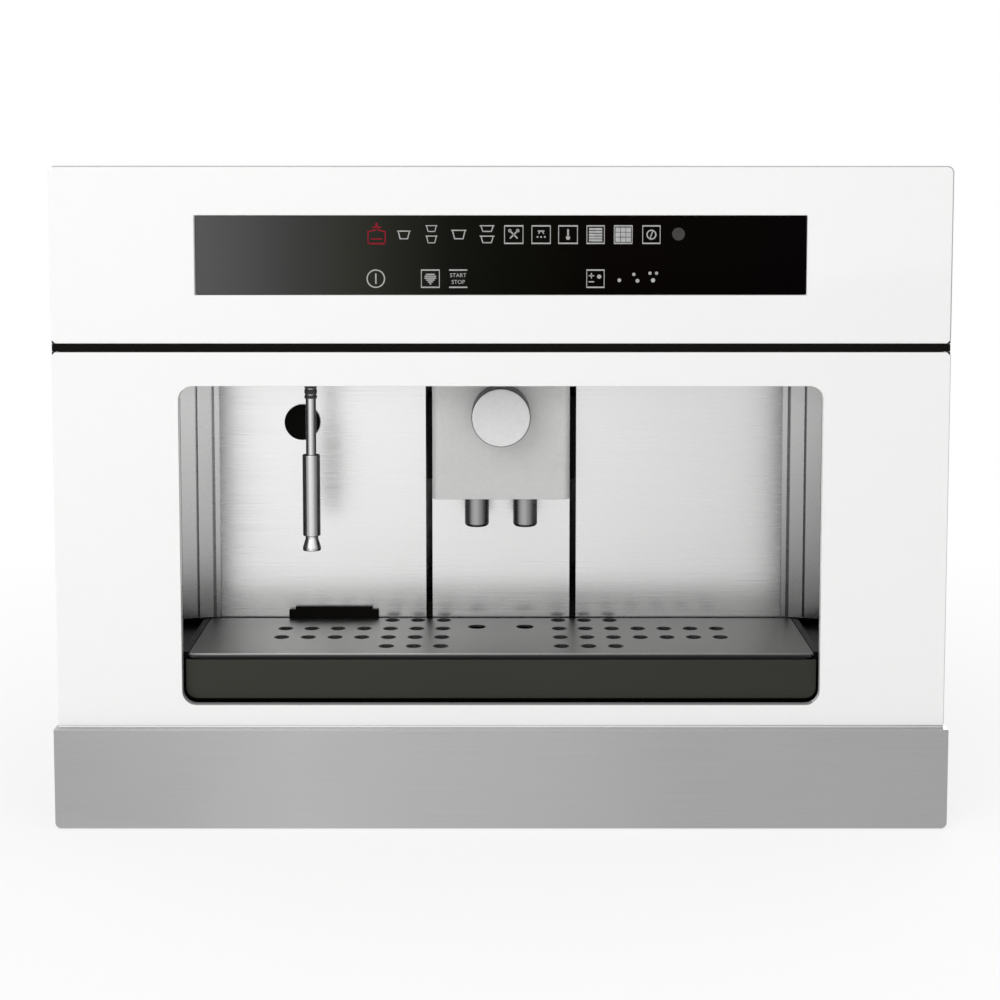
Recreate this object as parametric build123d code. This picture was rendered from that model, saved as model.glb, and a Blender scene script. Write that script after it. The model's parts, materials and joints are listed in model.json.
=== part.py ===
"""Built-in coffee machine on pull-out guides, in millimetres. +X is the viewer's right,
the front faces -Y, +Z is up, and the origin is the bottom centre of the whole machine."""

import os
from math import cos, pi, sin

from build123d import *

# overall sizes
overall_depth = 400.0
glass_width = 592.0
strip_width = 596.6
strip_height = 67.6
strip_bottom = 0.8
strip_proud = 5.0
fascia_height = 116.6
door_height = 250.6
gap_strip_door = 1.6
gap_door_fascia = 5.6
niche_width = 560.0
niche_side_gap = 1.0

# front skins
glass_thick = 6.0
glass_corner = 4.6
glass_clip = 2.4
carrier_thick = 10.4
carrier_inset = 1.0
carrier_setback = 1.5
front_frame_thick = 2.0
door_air = 0.5
sheet = 1.2
window_width = 425.4
window_height = 214.0
window_above_door_foot = 14.0
window_corner = 9.3
display_width = 400.3
display_height = 51.8
display_above_fascia_foot = 32.3
display_gap = 0.2
board_half = 180.0
board_thick = 1.6
board_margin = 1.0
chip_size = 9.0
chip_count = 4
chip_pitch = 80.0
chip_rise = 20.0
chip_thick = 3.0
strip_corner = 4.0

# door hinge and catch
door_axis_inset = 4.4
hinge_pin_radius = 2.0
hinge_fit = 0.1
hinge_boss_radius = 4.2
hinge_boss_height = 12.0
hinge_plate = 2.0
hinge_notch = 1.0
hinge_pin_bite = 8.0
catch_width = 12.0
catch_height = 30.0

# cavity
cavity_half_width = 236.0
cavity_depth = 102.0
cavity_top = 316.0
frame_opening_half = 222.0
frame_opening_top = 304.0
panel_sheet = 1.5
slot_centre = 52.0
slot_width = 4.6
facet_width = 11.0
facet_step = 3.0

# tray and grid
tray_half_width = 210.5
tray_inset = 5.0
tray_bevel = 4.0
tray_wall = 2.0
tray_under = 2.0
tray_height = 27.8
tray_panel_drop = 1.4
tray_panel_thick = 3.0
tray_panel_inset = 8.5
tray_length = 282.0
tray_air = 0.6
bin_half_width = 90.0
bin_length = 150.0
bin_wall = 1.6
grid_thick = 1.6
grid_lip = 5.0
grid_pitch = 18.6
grid_first_column = 41.3
grid_row_pitch = 25.6
grid_rows = 4
grid_columns = 7
grid_short_columns = 3
grid_hole = 7.7
grid_spout_hole = 12.4

# dispenser head
head_width = 96.0
head_front_depth = 70.0
head_wall = 2.4
head_height = 100.0
head_bottom = 210.7
head_corner = 5.0
head_arm_thick = 2.6
head_arm_gap = 1.4
carriage_height = 60.0
carriage_thick = 20.0
carriage_gap = 1.5
spout_radius = 8.55
spout_bore = 3.9
spout_spacing = 34.2
spout_drop = 22.3
spout_depth = 91.0
knob_radius = 20.25
knob_length = 27.0
knob_gap = 0.8
knob_height = 271.6
knob_shaft_radius = 4.0
feed_radius = 5.0
moving_gap = 0.3
track_radius = 4.0
track_spacing = 64.0
track_block = 10.0

# steam wand
wand_x = -129.5
wand_depth = 42.0
wand_pipe_radius = 3.5
wand_head_drop = 6.7
wand_collar_radius = 7.5
wand_pivot_radius = 2.0
wand_pivot_bite = 1.0
wand_socket_radius = 11.0
sleeve_radius = 6.0
sleeve_drop = 57.5
sleeve_length = 55.7
wand_tip_length = 10.3
wand_tip_radius = 4.4

# back wall fittings
plug_x = -143.2
plug_z = 258.6
plug_radius = 12.75
plug_proud = 3.0
drain_left = -153.8
drain_right = -88.9
drain_height = 8.7
drain_shoulder = 6.6
drain_step = 4.6
drain_round = 1.0

# pull-out guides
guide_height = 45.7
guide_thick = 12.7
guide_length = 350.0
guide_foot = 0.0
guide_sheet = 1.5
guide_step = 4.9
guide_gap = 0.4
guide_front_clear = 3.0
tie_bar_height = 30.0
tie_bar_thick = 3.0
guide_hole = 2.25
guide_hole_spacing = 288.0
guide_hole_rise = 32.0

# body shell
body_foot = 4.0
body_top = 438.0
rear_room = 8.0
vent_width = 60.0
vent_height = 4.0
vent_pitch = 10.0
vent_rows = 8
vent_round_off = 0.01

# water tank
tank_half_width = 46.0
tank_centre_x = -205.0
tank_rear_room = 100.0
tank_half_depth = 78.0
tank_wall = 2.5
tank_foot = 236.0
tank_proud = 0.2
tank_corner = 12.0
tank_gap = 2.0

# bean hopper and grinder
hopper_x = 60.0
hopper_setback = 144.0
hopper_half_width = 60.0
hopper_half_depth = 50.0
hopper_depth = 90.0
hopper_wall = 2.0
hopper_flange = 3.0
hopper_corner = 10.0
grinder_radius = 38.0
grinder_height = 92.0
burr_radius = 24.0
burr_height = 20.0
dial_radius = 26.0

# brew group
brew_x = 175.0
brew_setback = 140.0
brew_width = 84.0
brew_depth = 80.0
brew_height = 190.0
brew_plate = 4.0
chamber_radius = 24.0
chamber_height = 60.0
piston_radius = 23.7
spindle_radius = 5.0
service_width = 150.0
service_height = 230.0
service_gap = 1.0

# places and small sizes of the remaining pieces
base_sheet = 2.4
service_foot = 120.0
service_barrel = 3.0
service_knuckle = 16.0
service_pin = 1.4
vent_foot = 250.0
vent_offset = 120.0
inlet_x = 180.0
inlet_z = 75.0
inlet_width = 30.0
inlet_height = 28.0
inlet_depth = 18.0
inlet_bore_width = 24.0
inlet_bore_height = 17.0
inlet_bore_depth = 14.0
pin_spacing = 7.0
pin_drop = 3.0
pin_width = 2.0
pin_recess = 5.0
switch_width = 22.0
rocker_half = 8.0
rocker_reach = 10.0
rocker_core = 6.0
rocker_rise = 3.0
rocker_dip = 1.0
trunnion_length = 1.5
trunnion_radius = 0.8
guide_open = 1.5
guide_inner_thick = 5.0
panel_foot_gap = 0.3
chute_half = 22.0
facet_edge = 4.0
rail_lip = 5.0
rail_groove = 5.0
spout_stem = 5.5
spout_round = 2.5
knob_retainer = 2.5
knob_edge = 1.2
wand_socket_thick = 5.0
wand_stem = 3.0
wand_eye_half = 4.4
wand_eye_radius = 5.0
wand_bush_drop = 19.1
wand_bush_length = 10.0
wand_bush_radius = 3.8
wand_neck = 2.2
wand_flare = 1.8
steam_bore = 1.5
bin_corner = 8.0
grid_front_gap = 2.5
grid_row_start = 34.4
lid_air = 0.3
lid_thick = 3.0
lid_overlap = 3.0
lid_reach = 8.0
lid_clear = 2.6
lid_barrel = 14.0
lid_pin = 0.8
lid_pin_fit = 0.1
cradle_lip = 6.0
dial_x = 155.0
dial_thick = 3.0
dial_scallop = 3.0
dial_grips = 12
dial_stem = 12.0
dial_shaft = 4.0
throat_radius = 12.0
grinder_lid = 6.0
burr_shaft = 5.0
burr_stem = 30.0
stem_end_gap = 1.0
chamber_lead = 8.0
spindle_lag = 30.0
piston_height = 52.0
nut_radius = 9.0
spindle_stub = 10.0
motor_radius = 18.0
motor_length = 50.0
boiler_x = -60.0
boiler_setback = 129.0
boiler_height = 110.0
boiler_radius = 36.0
boiler_port_rise = 37.0
pump_x = -200.0
pump_lift = 8.0
pump_setback = 84.0
pump_length = 80.0
pump_radius = 24.0
pipe_level = 335.0
pipe_bend = 12.0
pipe_bore = 3.0
pipe_radius = 4.0
pipe_run = 30.0
feed_foot = 252.0
board_x = -20.0
board_length = 100.0
board_z = 260.0
board_rise = 80.0
board_stand = 12.0
board_part_count = 3
board_part_start = 10.0
board_part_pitch = 30.0
screw_inset = 14.0
screw_foot = 50.0
screw_head = 2.0
screw_radius = 4.0
screw_slot = 1.0

# places worked out from the sizes above
strip_front = -overall_depth / 2
rear = overall_depth / 2
glass_front = strip_front + strip_proud
glass_back = glass_front + glass_thick
carrier_back = glass_back + carrier_thick
frame_front = carrier_back + door_air
frame_back = frame_front + front_frame_thick
door_foot = strip_bottom + strip_height + gap_strip_door
door_top = door_foot + door_height
fascia_foot = door_top + gap_door_fascia
fascia_top = fascia_foot + fascia_height
glass_half = glass_width / 2
window_half = window_width / 2
window_foot = door_foot + window_above_door_foot
window_top = window_foot + window_height
display_foot = fascia_foot + display_above_fascia_foot
back_wall = frame_back + cavity_depth
guide_outer_face = niche_width / 2 - niche_side_gap
body_half = guide_outer_face - guide_thick
body_rear = rear - rear_room
guide_front = frame_back + guide_front_clear
guide_rear = guide_front + guide_length
guide_middle_y = (guide_front + rear - tie_bar_thick) / 2
guide_mid = guide_foot + guide_height / 2
tray_foot = window_foot + tray_under
tray_front_y = glass_front + tray_panel_inset
tray_top = tray_foot + tray_height
grid_top = tray_top + grid_thick
tray_rear = tray_front_y + tray_length
liner_floor = tray_foot - tray_air
tunnel_top = grid_top - panel_foot_gap
deck = tunnel_top + panel_sheet
cover_top = body_top + sheet
tank_top = cover_top + tank_proud
pump_z = deck + pump_lift + pump_radius
brew_y = back_wall + brew_setback
brew_chamber_y = brew_y - chamber_lead
brew_spindle_y = brew_y + spindle_lag
hopper_y = back_wall + hopper_setback
boiler_y = back_wall + boiler_setback
pump_front = back_wall + pump_setback
tank_centre_y = body_rear - tank_rear_room
switch_x = inlet_x - (inlet_width + switch_width) / 2
service_hinge_y = brew_y + service_width / 2 - service_gap - service_barrel
head_front = glass_front + head_front_depth
arm_back = back_wall - head_arm_gap
head_back = arm_back - head_arm_thick
head_top = head_bottom + head_height
spout_y = glass_front + spout_depth
wand_y = glass_front + wand_depth
wand_fork_top = cavity_top - wand_socket_thick - moving_gap
wand_pivot_height = wand_fork_top - wand_head_drop
wand_bush_foot = wand_pivot_height - wand_bush_drop
sleeve_top = wand_pivot_height - sleeve_drop
sleeve_foot = sleeve_top - sleeve_length
wand_tip = sleeve_foot - wand_tip_length
door_axis_x = -glass_half + door_axis_inset
door_axis_y = carrier_back - hinge_boss_radius


def block(x0, x1, y0, y1, z0, z1):
    centre = Pos((x0 + x1) / 2, (y0 + y1) / 2, (z0 + z1) / 2)
    return centre * Box(x1 - x0, y1 - y0, z1 - z0)


def slab(plane, width, height, thick, corner):
    outline = RectangleRounded(width, height, corner) if corner else Rectangle(width, height)
    return extrude(plane * outline, thick)


def wall_y(x0, x1, z0, z1, y0, y1, corner=0):
    """an upright plate that faces the front, from y0 back to y1"""
    middle = ((x0 + x1) / 2, y1, (z0 + z1) / 2)
    return slab(Plane(middle, (1, 0, 0), (0, -1, 0)), x1 - x0, z1 - z0, y1 - y0, corner)


def wall_z(x0, x1, y0, y1, z0, z1, corner=0):
    """a level plate from z0 up to z1"""
    middle = ((x0 + x1) / 2, (y0 + y1) / 2, z0)
    return slab(Plane(middle, (1, 0, 0), (0, 0, 1)), x1 - x0, y1 - y0, z1 - z0, corner)


def rod_x(y, z, x0, x1, radius):
    return extrude(Plane((x0, y, z), (0, 1, 0), (1, 0, 0)) * Circle(radius), x1 - x0)


def rod_y(x, z, y0, y1, radius):
    return extrude(Plane((x, y1, z), (1, 0, 0), (0, -1, 0)) * Circle(radius), y1 - y0)


def rod_z(x, y, z0, z1, radius):
    return extrude(Plane((x, y, z0)) * Circle(radius), z1 - z0)


def cone_z(x, y, z0, z1, low_radius, high_radius):
    return loft([Plane((x, y, z0)) * Circle(low_radius), Plane((x, y, z1)) * Circle(high_radius)])


def save(name, *pieces):
    shape = pieces[0] if len(pieces) == 1 else Compound(children=list(pieces))
    solids = shape.solids()
    whole = solids[0] if len(solids) == 1 else Compound(solids)
    export_step(whole, f"parts/{name}.step")


def add_all(body, pieces):
    for piece in pieces:
        body += piece
    return body


def cut_all(body, pieces):
    for piece in pieces:
        body -= piece
    return body


def make_door():
    """the lower white glass frame, hinged at its left edge in front of the cavity"""
    window = wall_y(-window_half, window_half, window_foot, window_top, glass_front, glass_back,
                    window_corner)
    skin = wall_y(-glass_half, glass_half, door_foot, door_top, glass_front, glass_back)
    skin = chamfer(skin.edges().filter_by(Axis.Y).group_by(Axis.Z)[-1], glass_clip)
    save("door_glass", skin - window)

    low = door_foot + carrier_inset
    high = door_top - carrier_inset
    right = glass_half - carrier_inset
    carrier = wall_y(door_axis_x, right, low, high, glass_back, carrier_back)
    for foot in (low, high - hinge_boss_height):
        carrier += rod_z(door_axis_x, door_axis_y, foot, foot + hinge_boss_height, hinge_boss_radius)
    bore = hinge_pin_radius + hinge_fit
    depth = hinge_pin_bite + carrier_inset
    carrier -= rod_z(door_axis_x, door_axis_y, low, low + depth, bore)
    carrier -= rod_z(door_axis_x, door_axis_y, high - depth, high, bore)
    room = carrier_setback
    opening = wall_y(-window_half - room, window_half + room, window_foot - room, window_top + room,
                     glass_back, carrier_back)
    save("door_carrier", carrier - opening)


def make_hinges():
    """two bracket plates on the front frame, each with a pin that enters the door"""
    brackets = []
    for face, way in ((door_foot - gap_strip_door, -1), (door_top + gap_strip_door, 1)):
        low, high = sorted((face, face + way * hinge_plate))
        plate = block(door_axis_x - hinge_pin_radius, door_axis_x + hinge_boss_height,
                      door_axis_y - hinge_boss_radius, frame_front, low, high)
        tip = face - way * (gap_strip_door + hinge_pin_bite)
        pin_low, pin_high = sorted((tip, face))
        brackets.append(plate + rod_z(door_axis_x, door_axis_y, pin_low, pin_high, hinge_pin_radius))
    save("door_hinges", *brackets)
    catch_x = glass_half - carrier_inset - catch_width
    catch_z = (door_foot + door_top) / 2
    save("door_catch", wall_y(catch_x - catch_width, catch_x, catch_z - catch_height / 2,
                              catch_z + catch_height / 2, frame_front - door_air / 2, frame_front))


def make_front():
    """the front frame plate, the fascia with its display, and the steel strip"""
    half = glass_half - carrier_inset
    plate = wall_y(-half, half, body_foot, fascia_top - carrier_inset, frame_front, frame_back)
    plate -= wall_y(-frame_opening_half, frame_opening_half, liner_floor, frame_opening_top,
                    frame_front, frame_back)
    display = wall_y(-display_width / 2, display_width / 2, display_foot,
                     display_foot + display_height, glass_front, carrier_back)
    plate -= wall_y(-board_half, board_half, display_foot, display_foot + display_height,
                    frame_front, frame_back)
    save("front_frame", plate)

    skin = wall_y(-glass_half, glass_half, fascia_foot, fascia_top, glass_front, glass_back)
    corners = skin.edges().filter_by(Axis.Y)
    skin = fillet(corners.group_by(Axis.Z)[-1], glass_corner)
    skin = chamfer(skin.edges().filter_by(Axis.Y).group_by(Axis.Z)[0], glass_clip)
    save("fascia_glass", skin - display)

    low = fascia_foot + carrier_inset + glass_clip
    high = fascia_top - carrier_inset
    carrier = wall_y(-half, half, low, high, glass_back, frame_front, glass_clip)
    save("fascia_carrier", carrier - wall_y(-board_half, board_half, display_foot,
                                            display_foot + display_height, glass_back, frame_front))
    lens = wall_y(-display_width / 2 + display_gap, display_width / 2 - display_gap,
                  display_foot + display_gap, display_foot + display_height - display_gap,
                  glass_front, glass_back)
    save("display_panel", lens)

    board = wall_y(-board_half + board_margin, board_half - board_margin, display_foot + board_margin,
                   display_foot + display_height - board_margin, glass_back, glass_back + board_thick)
    chips = [wall_y(x - chip_size, x + chip_size, display_foot + chip_rise,
                    display_foot + chip_rise + chip_size, glass_back + board_thick,
                    glass_back + board_thick + chip_thick)
             for x in [(chip - (chip_count - 1) / 2) * chip_pitch for chip in range(chip_count)]]
    save("control_board", add_all(board, chips))

    top = strip_bottom + strip_height
    strip_half = strip_width / 2
    strip = block(-strip_half, strip_half, strip_front, frame_front, strip_bottom, top)
    strip = fillet(strip.edges().filter_by(Axis.Y).group_by(Axis.Z)[0], strip_corner)
    strip -= block(-strip_half + sheet, strip_half - sheet, strip_front + sheet, frame_front,
                   strip_bottom + sheet + strip_corner, top - sheet)
    strip -= block(-strip_half, door_axis_x + hinge_boss_height + hinge_notch, door_axis_y - glass_thick,
                   frame_front, top - sheet - hinge_plate - hinge_notch, top)
    save("trim_strip", strip)


def make_shell():
    """base, sides, rear and top of the sheet metal body"""
    floor_top = body_foot + base_sheet
    save("chassis_base", wall_z(-body_half, body_half, frame_back, body_rear, body_foot, floor_top))
    inner = body_half - sheet
    left = block(-body_half, -inner, frame_back, body_rear, floor_top, body_top)
    save("left_side_panel", left)
    right = block(inner, body_half, frame_back, body_rear, floor_top, body_top)
    reach = service_width / 2
    right -= block(inner, body_half, brew_y - reach, brew_y + reach, service_foot,
                   service_foot + service_height)
    for low, knuckle_foot in service_knuckles():
        right += rod_z(body_half, service_hinge_y, knuckle_foot, knuckle_foot + service_knuckle,
                       service_barrel)
        right += block(inner, body_half, service_hinge_y, brew_y + reach, knuckle_foot,
                       knuckle_foot + service_knuckle)
        pin_low, pin_high = sorted((low, knuckle_foot))
        right += rod_z(body_half, service_hinge_y, pin_low + lid_air, pin_high + service_knuckle - lid_air,
                       service_pin)
    save("right_side_panel", right)
    cover = block(-body_half, body_half, body_rear, body_rear + sheet, body_foot, body_top)
    vents = []
    for row in range(vent_rows):
        low = vent_foot + row * vent_pitch
        for side in (-vent_offset, vent_offset):
            vents.append(wall_y(side - vent_width / 2, side + vent_width / 2, low, low + vent_height,
                                body_rear, body_rear + sheet, vent_height / 2 - vent_round_off))
    vents.append(wall_y(inlet_x - inlet_width / 2, inlet_x + inlet_width / 2, inlet_z - inlet_height / 2,
                        inlet_z + inlet_height / 2, body_rear, body_rear + sheet))
    vents.append(wall_y(switch_x - switch_width / 2, switch_x + switch_width / 2,
                        inlet_z - inlet_height / 2, inlet_z + inlet_height / 2,
                        body_rear, body_rear + sheet))
    save("rear_cover", cut_all(cover, vents))

    top = block(-body_half, body_half, frame_back, body_rear + sheet, body_top, cover_top)
    half_width = tank_half_width + tank_gap
    half_depth = tank_half_depth + tank_gap
    holes = [hopper_outline(body_top, cover_top, 0),
             block(tank_centre_x - half_width, tank_centre_x + half_width, tank_centre_y - half_depth,
                   tank_centre_y + half_depth, body_top, cover_top)]
    holes.append(rod_z(dial_x, hopper_y, body_top, cover_top, dial_shaft + moving_gap))
    low = cover_top + lid_air
    lid = hopper_outline(low, low + lid_thick, lid_overlap)
    half = hopper_half_width - hopper_corner
    lug = hinged_lid("hopper_lid", lid, hopper_x - half, hopper_x + half,
                     hopper_y + hopper_half_depth + lid_overlap + lid_clear, low)
    save("top_cover", cut_all(top, holes) + lug)


def service_knuckles():
    """foot heights of each pair of knuckles: the service door's, then the side panel's"""
    low = service_foot + service_gap
    high = service_foot + service_height - service_gap - service_knuckle
    step = service_knuckle + lid_air
    return ((low, low + step), (high, high - step))


def hopper_outline(low, high, spare):
    return wall_z(hopper_x - hopper_half_width - spare, hopper_x + hopper_half_width + spare,
                  hopper_y - hopper_half_depth - spare, hopper_y + hopper_half_depth + spare,
                  low, high, hopper_corner + spare)


def tank_outline(low, high, spare):
    return wall_z(tank_centre_x - tank_half_width - spare, tank_centre_x + tank_half_width + spare,
                  tank_centre_y - tank_half_depth - spare, tank_centre_y + tank_half_depth + spare,
                  low, high, tank_corner + spare)


def channel(face, way, inset, z_half, front, back, fold):
    """a rail of C section: its web lies inset from the niche wall and opens towards the body"""
    outer = face - way * inset
    open_edge = outer - way * fold
    inner = outer - way * guide_sheet
    x0, x1 = sorted((outer, open_edge))
    a0, a1 = sorted((inner, open_edge))
    solid = block(x0, x1, front, back, guide_mid - z_half, guide_mid + z_half)
    return solid - block(a0, a1, front, back, guide_mid - z_half + guide_sheet,
                         guide_mid + z_half - guide_sheet)


def make_guides():
    """three-stage guides at each side, and the bar that ties the outer rails together"""
    outer_half = guide_height / 2
    middle_half = outer_half - guide_sheet - guide_gap
    inner_half = middle_half - guide_sheet - guide_gap
    middles, inners = [], []
    for way, name in ((-1, "left"), (1, "right")):
        face = way * guide_outer_face
        back = rear - tie_bar_thick
        rail = channel(face, way, 0, outer_half, guide_front, back, guide_thick - guide_open)
        for step_y in (-guide_hole_spacing / 2, guide_hole_spacing / 2):
            for step_z in (-guide_hole_rise / 2, guide_hole_rise / 2):
                x0, x1 = sorted((face, face - way * guide_sheet))
                rail -= rod_x(guide_middle_y + step_y, guide_mid + step_z, x0, x1, guide_hole)
        save(f"guide_outer_{name}", rail)
        middles.append(channel(face, way, guide_step, middle_half, guide_front, guide_rear,
                               guide_thick - guide_open - guide_step))
        near = face - way * (guide_thick - guide_inner_thick)
        x0, x1 = sorted((near, way * body_half))
        inners.append(block(x0, x1, guide_front, guide_rear, guide_mid - inner_half,
                            guide_mid + inner_half))
    save("guide_middle_rails", *middles)
    save("guide_inner_rails", *inners)
    save("guide_tie_bar", block(-guide_outer_face, guide_outer_face, rear - tie_bar_thick, rear,
                                guide_foot, tie_bar_height))


def make_cavity():
    """the lined space behind the window, with the tray tunnel that runs on under the back wall"""
    floor = liner_floor - panel_sheet
    side = cavity_half_width + panel_sheet
    liner = block(-side, side, frame_back, back_wall + panel_sheet, floor, cavity_top + panel_sheet)
    liner -= block(-cavity_half_width, cavity_half_width, frame_back, back_wall + panel_sheet,
                   floor + panel_sheet, cavity_top)
    tunnel_half = tray_half_width + tray_air
    tunnel_end = tray_rear + tray_air
    tunnel = block(-tunnel_half - panel_sheet, tunnel_half + panel_sheet, back_wall,
                   tunnel_end + panel_sheet, floor, tunnel_top + panel_sheet)
    tunnel -= block(-tunnel_half, tunnel_half, back_wall, tunnel_end, floor + panel_sheet, tunnel_top)
    tunnel -= block(-side, side, back_wall, back_wall + panel_sheet, floor + panel_sheet,
                    cavity_top)
    chute = wall_z(brew_x - chute_half, brew_x + chute_half, brew_y - chute_half, brew_y + chute_half,
                   tunnel_top, tunnel_top + panel_sheet)
    liner += tunnel
    liner -= chute
    liner -= rod_z(0, spout_y, cavity_top, cavity_top + panel_sheet, feed_radius)
    save("cavity_liner", liner)

    front = back_wall
    back = front + panel_sheet
    inner = slot_centre + slot_width / 2
    outer = cavity_half_width
    fold = outer - facet_width * 2 - facet_edge
    for way, name in ((-1, "left"), (1, "right")):
        plan = [(inner, front), (fold, front), (fold + facet_width, front - facet_step / 3),
                (outer, front - facet_step), (outer, back), (inner, back)]
        plan = [(way * x, y) for x, y in plan]
        panel = extrude(Plane((0, 0, tunnel_top)) * make_face(Polyline(*plan, close=True)),
                        cavity_top - tunnel_top)
        if way < 0:
            panel -= rod_y(plug_x, plug_z, front, back, plug_radius / 2)
            panel -= block(drain_left + drain_step, drain_right - drain_step, front, back,
                           tunnel_top, tunnel_top + drain_height)
        save(f"back_panel_{name}", panel)
    centre = slot_centre - slot_width / 2
    save("back_panel_center", block(-centre, centre, front, back, tunnel_top, cavity_top))

    plug = rod_y(plug_x, plug_z, front - plug_proud, front, plug_radius)
    save("port_plug", plug + rod_y(plug_x, plug_z, front, back, plug_radius / 2))
    drain = wall_y(drain_left, drain_right, tunnel_top, tunnel_top + drain_shoulder, front - plug_proud,
                   front, drain_round)
    drain += wall_y(drain_left + drain_step, drain_right - drain_step, tunnel_top,
                    tunnel_top + drain_height, front - plug_proud, front, drain_round)
    drain += block(drain_left + drain_step, drain_right - drain_step, front, back,
                   tunnel_top, tunnel_top + drain_height)
    save("drain_outlet", drain)

    rails = []
    for way in (-1, 1):
        x0, x1 = sorted((way * (tray_half_width + tray_air), way * cavity_half_width))
        rail = block(x0, x1, frame_back, back_wall - facet_step, floor + panel_sheet, grid_top)
        x0, x1 = sorted((way * (tray_half_width + rail_lip), way * (cavity_half_width - rail_lip)))
        rails.append(rail - block(x0, x1, frame_back, back_wall - facet_step, grid_top - rail_groove,
                                  grid_top))
    save("tray_rails", *rails)


def make_head():
    """the coffee dispenser, its knob and the carriage that runs on two upright tracks"""
    half = head_width / 2
    cover = wall_z(-half, half, head_front, head_back, head_bottom, head_top)
    cover = fillet(cover.edges().filter_by(Axis.Z).group_by(Axis.Y)[0], head_corner)
    cover -= block(-half + head_wall, half - head_wall, head_front + head_wall, head_back,
                   head_bottom + head_wall, head_top - head_wall)
    spouts = []
    for x in (-spout_spacing / 2, spout_spacing / 2):
        cover -= rod_z(x, spout_y, head_bottom, head_bottom + head_wall, spout_stem)
        tube = rod_z(x, spout_y, head_bottom - spout_drop, head_bottom, spout_radius)
        tube = fillet(tube.edges().group_by(Axis.Z)[0], spout_round)
        tube += rod_z(x, spout_y, head_bottom, head_bottom + head_wall * 2, spout_stem)
        spouts.append(tube - rod_z(x, spout_y, head_bottom - spout_drop, head_bottom + head_wall * 2,
                                   spout_bore / 2))
    cover -= rod_z(0, spout_y, head_top - head_wall, head_top, feed_radius + moving_gap)
    cover -= rod_y(0, knob_height, head_front, head_front + head_wall, knob_shaft_radius + hinge_fit)
    save("head_cover", cover)
    save("spouts", *spouts)

    knob_back = head_front - knob_gap
    knob = rod_y(0, knob_height, knob_back - knob_length, knob_back, knob_radius)
    knob = fillet(knob.edges().group_by(Axis.Y)[0], knob_edge)
    shaft_end = head_front + head_wall + knob_retainer
    knob += rod_y(0, knob_height, knob_back, shaft_end, knob_shaft_radius)
    save("flow_knob", knob + rod_y(0, knob_height, head_front + head_wall + hinge_fit, shaft_end,
                                   knob_shaft_radius + knob_retainer))

    low = head_bottom + head_wall * 3
    high = low + carriage_height
    front = back_wall + panel_sheet + carriage_gap
    arm = slot_centre + head_arm_thick / 2
    carriage = block(-arm, arm, front, front + carriage_thick, low, high)
    track_y = front + carriage_thick / 2
    for way in (-1, 1):
        carriage -= rod_z(way * track_spacing / 2, track_y, low, high, track_radius + moving_gap)
        x0, x1 = sorted((way * (arm - head_arm_thick), way * arm))
        carriage += block(x0, x1, head_back, front, low, high)
        x0, x1 = sorted((way * (half - head_wall - head_corner), way * arm))
        carriage += block(x0, x1, head_back, arm_back, low, high)
    save("head_carriage", carriage)

    tracks = []
    for low, high in ((deck, deck + track_block), (cavity_top - track_block, cavity_top)):
        tracks.append(block(-arm, arm, back_wall + panel_sheet, front + carriage_thick, low, high))
    for way in (-1, 1):
        tracks.append(rod_z(way * track_spacing / 2, track_y, deck, cavity_top, track_radius))
    save("head_tracks", add_all(tracks[0], tracks[1:]))


def make_wand():
    """the steam wand, hung from the cavity ceiling on a swivel and a tilt pin"""
    drop = cavity_top - wand_socket_thick
    socket = rod_z(wand_x, wand_y, drop, cavity_top, wand_socket_radius)
    save("wand_socket", socket - rod_z(wand_x, wand_y, drop, cavity_top, wand_stem + hinge_fit))
    fork_top = wand_fork_top
    fork_foot = wand_pivot_height - wand_collar_radius
    fork = rod_z(wand_x, wand_y, fork_foot, fork_top, wand_collar_radius)
    cheek = wand_eye_half + hinge_fit
    reach = wand_collar_radius
    eye_top = wand_pivot_height + wand_eye_radius + moving_gap
    fork -= block(wand_x - cheek, wand_x + cheek, wand_y - reach, wand_y + reach, fork_foot, eye_top)
    fork += rod_x(wand_y, wand_pivot_height, wand_x - cheek - wand_pivot_bite,
                  wand_x + cheek + wand_pivot_bite, wand_pivot_radius)
    save("wand_collar", fork + rod_z(wand_x, wand_y, fork_top, cavity_top - moving_gap, wand_stem))

    eye = rod_x(wand_y, wand_pivot_height, wand_x - wand_eye_half, wand_x + wand_eye_half,
                wand_eye_radius)
    pipe_foot = sleeve_foot + sleeve_radius
    wand = eye + rod_z(wand_x, wand_y, pipe_foot, wand_pivot_height, wand_pipe_radius)
    wand += rod_z(wand_x, wand_y, wand_bush_foot, wand_bush_foot + wand_bush_length, wand_bush_radius)
    wand -= rod_x(wand_y, wand_pivot_height, wand_x - wand_eye_half, wand_x + wand_eye_half,
                  wand_pivot_radius + hinge_fit)
    save("steam_wand", wand)

    neck = wand_tip_radius
    ring_top = sleeve_foot - wand_neck
    points = [(0, wand_tip), (neck + wand_flare, wand_tip), (neck + wand_flare, wand_tip + wand_neck),
              (neck, ring_top), (neck, sleeve_foot), (sleeve_radius, sleeve_foot),
              (sleeve_radius, sleeve_top), (wand_pipe_radius, sleeve_top),
              (wand_pipe_radius, pipe_foot), (0, pipe_foot)]
    half_section = Plane((wand_x, wand_y, 0), (1, 0, 0), (0, -1, 0)) * make_face(
        Polyline(*points, close=True))
    sleeve = revolve(half_section, Axis((wand_x, wand_y, 0), (0, 0, 1)))
    save("frother_sleeve", sleeve - rod_z(wand_x, wand_y, wand_tip, pipe_foot, steam_bore))


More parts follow.
